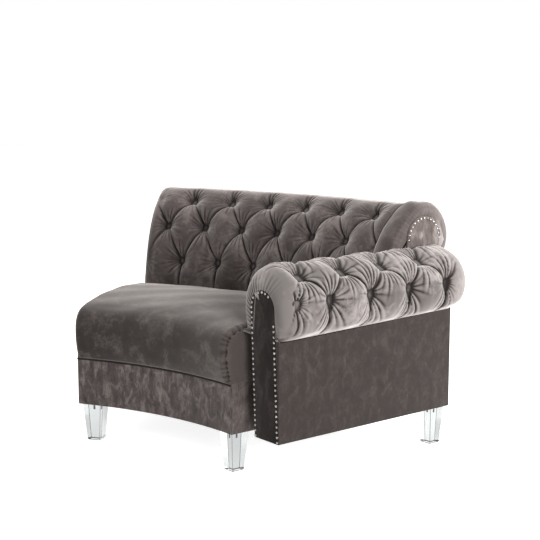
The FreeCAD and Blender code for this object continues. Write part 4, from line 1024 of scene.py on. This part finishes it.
studs = bmesh.new()
for points in islands("leg_studs"):
    bar = threaded_bar(Vector(points.min(0)), Vector(points.max(0)), 0.004)
    bar_mesh = bpy.data.meshes.new("bar")
    bar.to_mesh(bar_mesh)
    bar.free()
    studs.from_mesh(bar_mesh)
    bpy.data.meshes.remove(bar_mesh)
show("leg_stud_bars", studs, zinc, ["leg_studs"])

# %% [markdown]
# ## Nails and buttons
# Nails have round polished heads. A covered button is a small dome of velvet, pinched to its rim, in a
# darker copy that paints the shade of its pit. Each faces the way that its solid in the frame faces: the
# flattest direction of the solid's points, away from its wide foot. The nails sit exactly where the frame
# has them. The visual cloth is a little fuller than the frame's, so each button is set down on the
# cloth by a ray from above.

# %% Nails and buttons
RAY_START = 0.03
BUTTON_LIFT = 0.15
FOOT_FLATNESS = 0.35


def domes(name, node, radius, height, rings, sink, material, cloth=None):
    """A dome at each solid of a node, facing the way that the solid faces, set down on the cloth."""
    bm = bmesh.new()
    tree = cloth and BVHTree.FromObject(cloth, bpy.context.evaluated_depsgraph_get())
    for points in islands(node):
        middle = points.mean(0)
        spread = points - middle
        axis = np.linalg.eigh(spread.T @ spread)[1][:, 0]
        level = spread @ axis
        wide = np.linalg.norm(spread - np.outer(level, axis), axis=1)
        if level[wide > wide.max() * 0.95].mean() > 0:
            axis, level = -axis, -level
        foot = Vector(middle + axis * (level.max() - height + sink))
        if cloth:
            ahead = Vector(axis) * RAY_START
            foot = tree.ray_cast(foot + ahead, -ahead, 2 * RAY_START)[0] + ahead * BUTTON_LIFT
        turn_to = Vector(axis).to_track_quat("Z", "Y").to_matrix().to_4x4()
        made = bmesh.ops.create_uvsphere(bm, u_segments=rings * 2, v_segments=rings, radius=1.0)["verts"]
        for vert in made:
            if vert.co.z < 0:
                vert.co.z *= FOOT_FLATNESS
        bmesh.ops.scale(bm, verts=made, vec=(radius, radius, height))
        bmesh.ops.transform(bm, verts=made, matrix=Matrix.Translation(foot) @ turn_to)
    show(name, bm, material, [node])


domes("arm_nails", "arm_nailheads", 0.0048, 0.0030, 6, 0.0004, nickel)
domes("back_nails", "back_nailheads", 0.0048, 0.0030, 6, 0.0004, nickel)
domes("arm_covered_buttons", "arm_buttons", 0.0100, 0.0066, 10, -0.006, button_shade_velvet,
      arm)
domes("back_covered_buttons", "back_buttons", 0.0084, 0.0056, 10, -0.008, button_shade_velvet,
      back)

# %% [markdown]
# ## Floor
# The floor is plain and pale. It glows white for the camera, for reflections and through the clear legs,
# but lights nothing else, so the sofa keeps its soft shadow. Seen through the legs its colour is painted
# darker, painted shade that keeps the sides of the legs visible before all that white.

# %% Floor
MIRROR_SHARE, CLEAR_SHARE = 0.6, 0.75
FLOOR_GLOW = 0.86
bm = bmesh.new()
bmesh.ops.create_grid(bm, x_segments=1, y_segments=1, size=15)
floor_mesh = bpy.data.meshes.new("floor")
bm.to_mesh(floor_mesh)
bm.free()
floor = bpy.data.objects.new("floor", floor_mesh)
bpy.context.scene.collection.objects.link(floor)


def seen_directly(tree):
    """1 for rays from the camera, less for a reflection or through a clear piece, otherwise 0."""
    path = add_node(tree, "ShaderNodeLightPath").outputs
    mirrored = add_node(tree, "ShaderNodeMath", {"operation": "MULTIPLY", "second": MIRROR_SHARE},
                        first=path["Is Glossy Ray"])
    through = add_node(tree, "ShaderNodeMath", {"operation": "MULTIPLY", "second": CLEAR_SHARE},
                       first=path["Is Transmission Ray"])
    total = add_node(tree, "ShaderNodeMath", {"operation": "ADD"},
                     first=path["Is Camera Ray"], second=mirrored.outputs[0])
    total = add_node(tree, "ShaderNodeMath", {"operation": "ADD", "use_clamp": True},
                     first=total.outputs[0], second=through.outputs[0])
    return total.outputs[0]


floor_material, tree, shader = new_material("pale_floor")
through_legs = add_node(tree, "ShaderNodeLightPath").outputs["Is Transmission Ray"]
# Painted shade for the legs: the floor's colour is darker only where it is seen through them.
tones = {"data_type": "RGBA", "from_color": hex_color("#f2f2f2"), "to_color": hex_color("#9c9c9c")}
floor_color = add_node(tree, "ShaderNodeMix", tones, Factor=through_legs)
tree.links.new(floor_color.outputs[2], shader.inputs["Base Color"])
shader.inputs["Roughness"].default_value = 0.9
shader.inputs["Emission Color"].default_value = (1, 1, 1, 1)
glow = add_node(tree, "ShaderNodeMath", {"operation": "MULTIPLY", "second": FLOOR_GLOW},
                first=seen_directly(tree))
tree.links.new(glow.outputs[0], shader.inputs["Emission Strength"])
floor_mesh.materials.append(floor_material)
print("floor:", floor_material.name)

# %% [markdown]
# ## Light
# Soft studio light: a large lamp above and behind, a weak one from the front, and two from the arm's
# side, which give the velvet its sheen and the arm its bright edge. The surroundings give a low even
# light, and look white where the camera sees them.

# %% Light
AMBIENT = 0.26
world = bpy.data.worlds.new("studio")
world.use_nodes = True
bpy.context.scene.world = world
tree = world.node_tree
surroundings = tree.nodes["Background"]
surroundings.inputs["Color"].default_value = (1, 1, 1, 1)
strength = add_node(tree, "ShaderNodeMapRange", {"To Min": AMBIENT, "To Max": 1.0},
                    Value=seen_directly(tree))
tree.links.new(strength.outputs["Result"], surroundings.inputs["Strength"])


def lamp(name, place, target, size, power):
    """A square soft lamp, turned to a target."""
    data = bpy.data.lights.new(name, "AREA")
    data.shape = "SQUARE"
    data.size = size
    data.energy = power
    item = bpy.data.objects.new(name, data)
    item.location = place
    item.rotation_euler = (Vector(target) - Vector(place)).to_track_quat("-Z", "Y").to_euler()
    bpy.context.scene.collection.objects.link(item)
    print("lamp", name, power, "W")


lamp("overhead", (-0.3, 0.9, 3.4), (0, 0, 0.4), 1.4, 80)
lamp("front", (-0.4, -3.6, 2.2), (0, 0, 0.5), 1.6, 24)
lamp("side", (3.9, -1.3, 1.7), (0.2, 0, 0.4), 1.5, 95)
lamp("rear_side", (3.4, 2.6, 1.3), (0.4, 0.3, 0.5), 1.2, 150)
bpy.context.scene.view_settings.view_transform = "Standard"
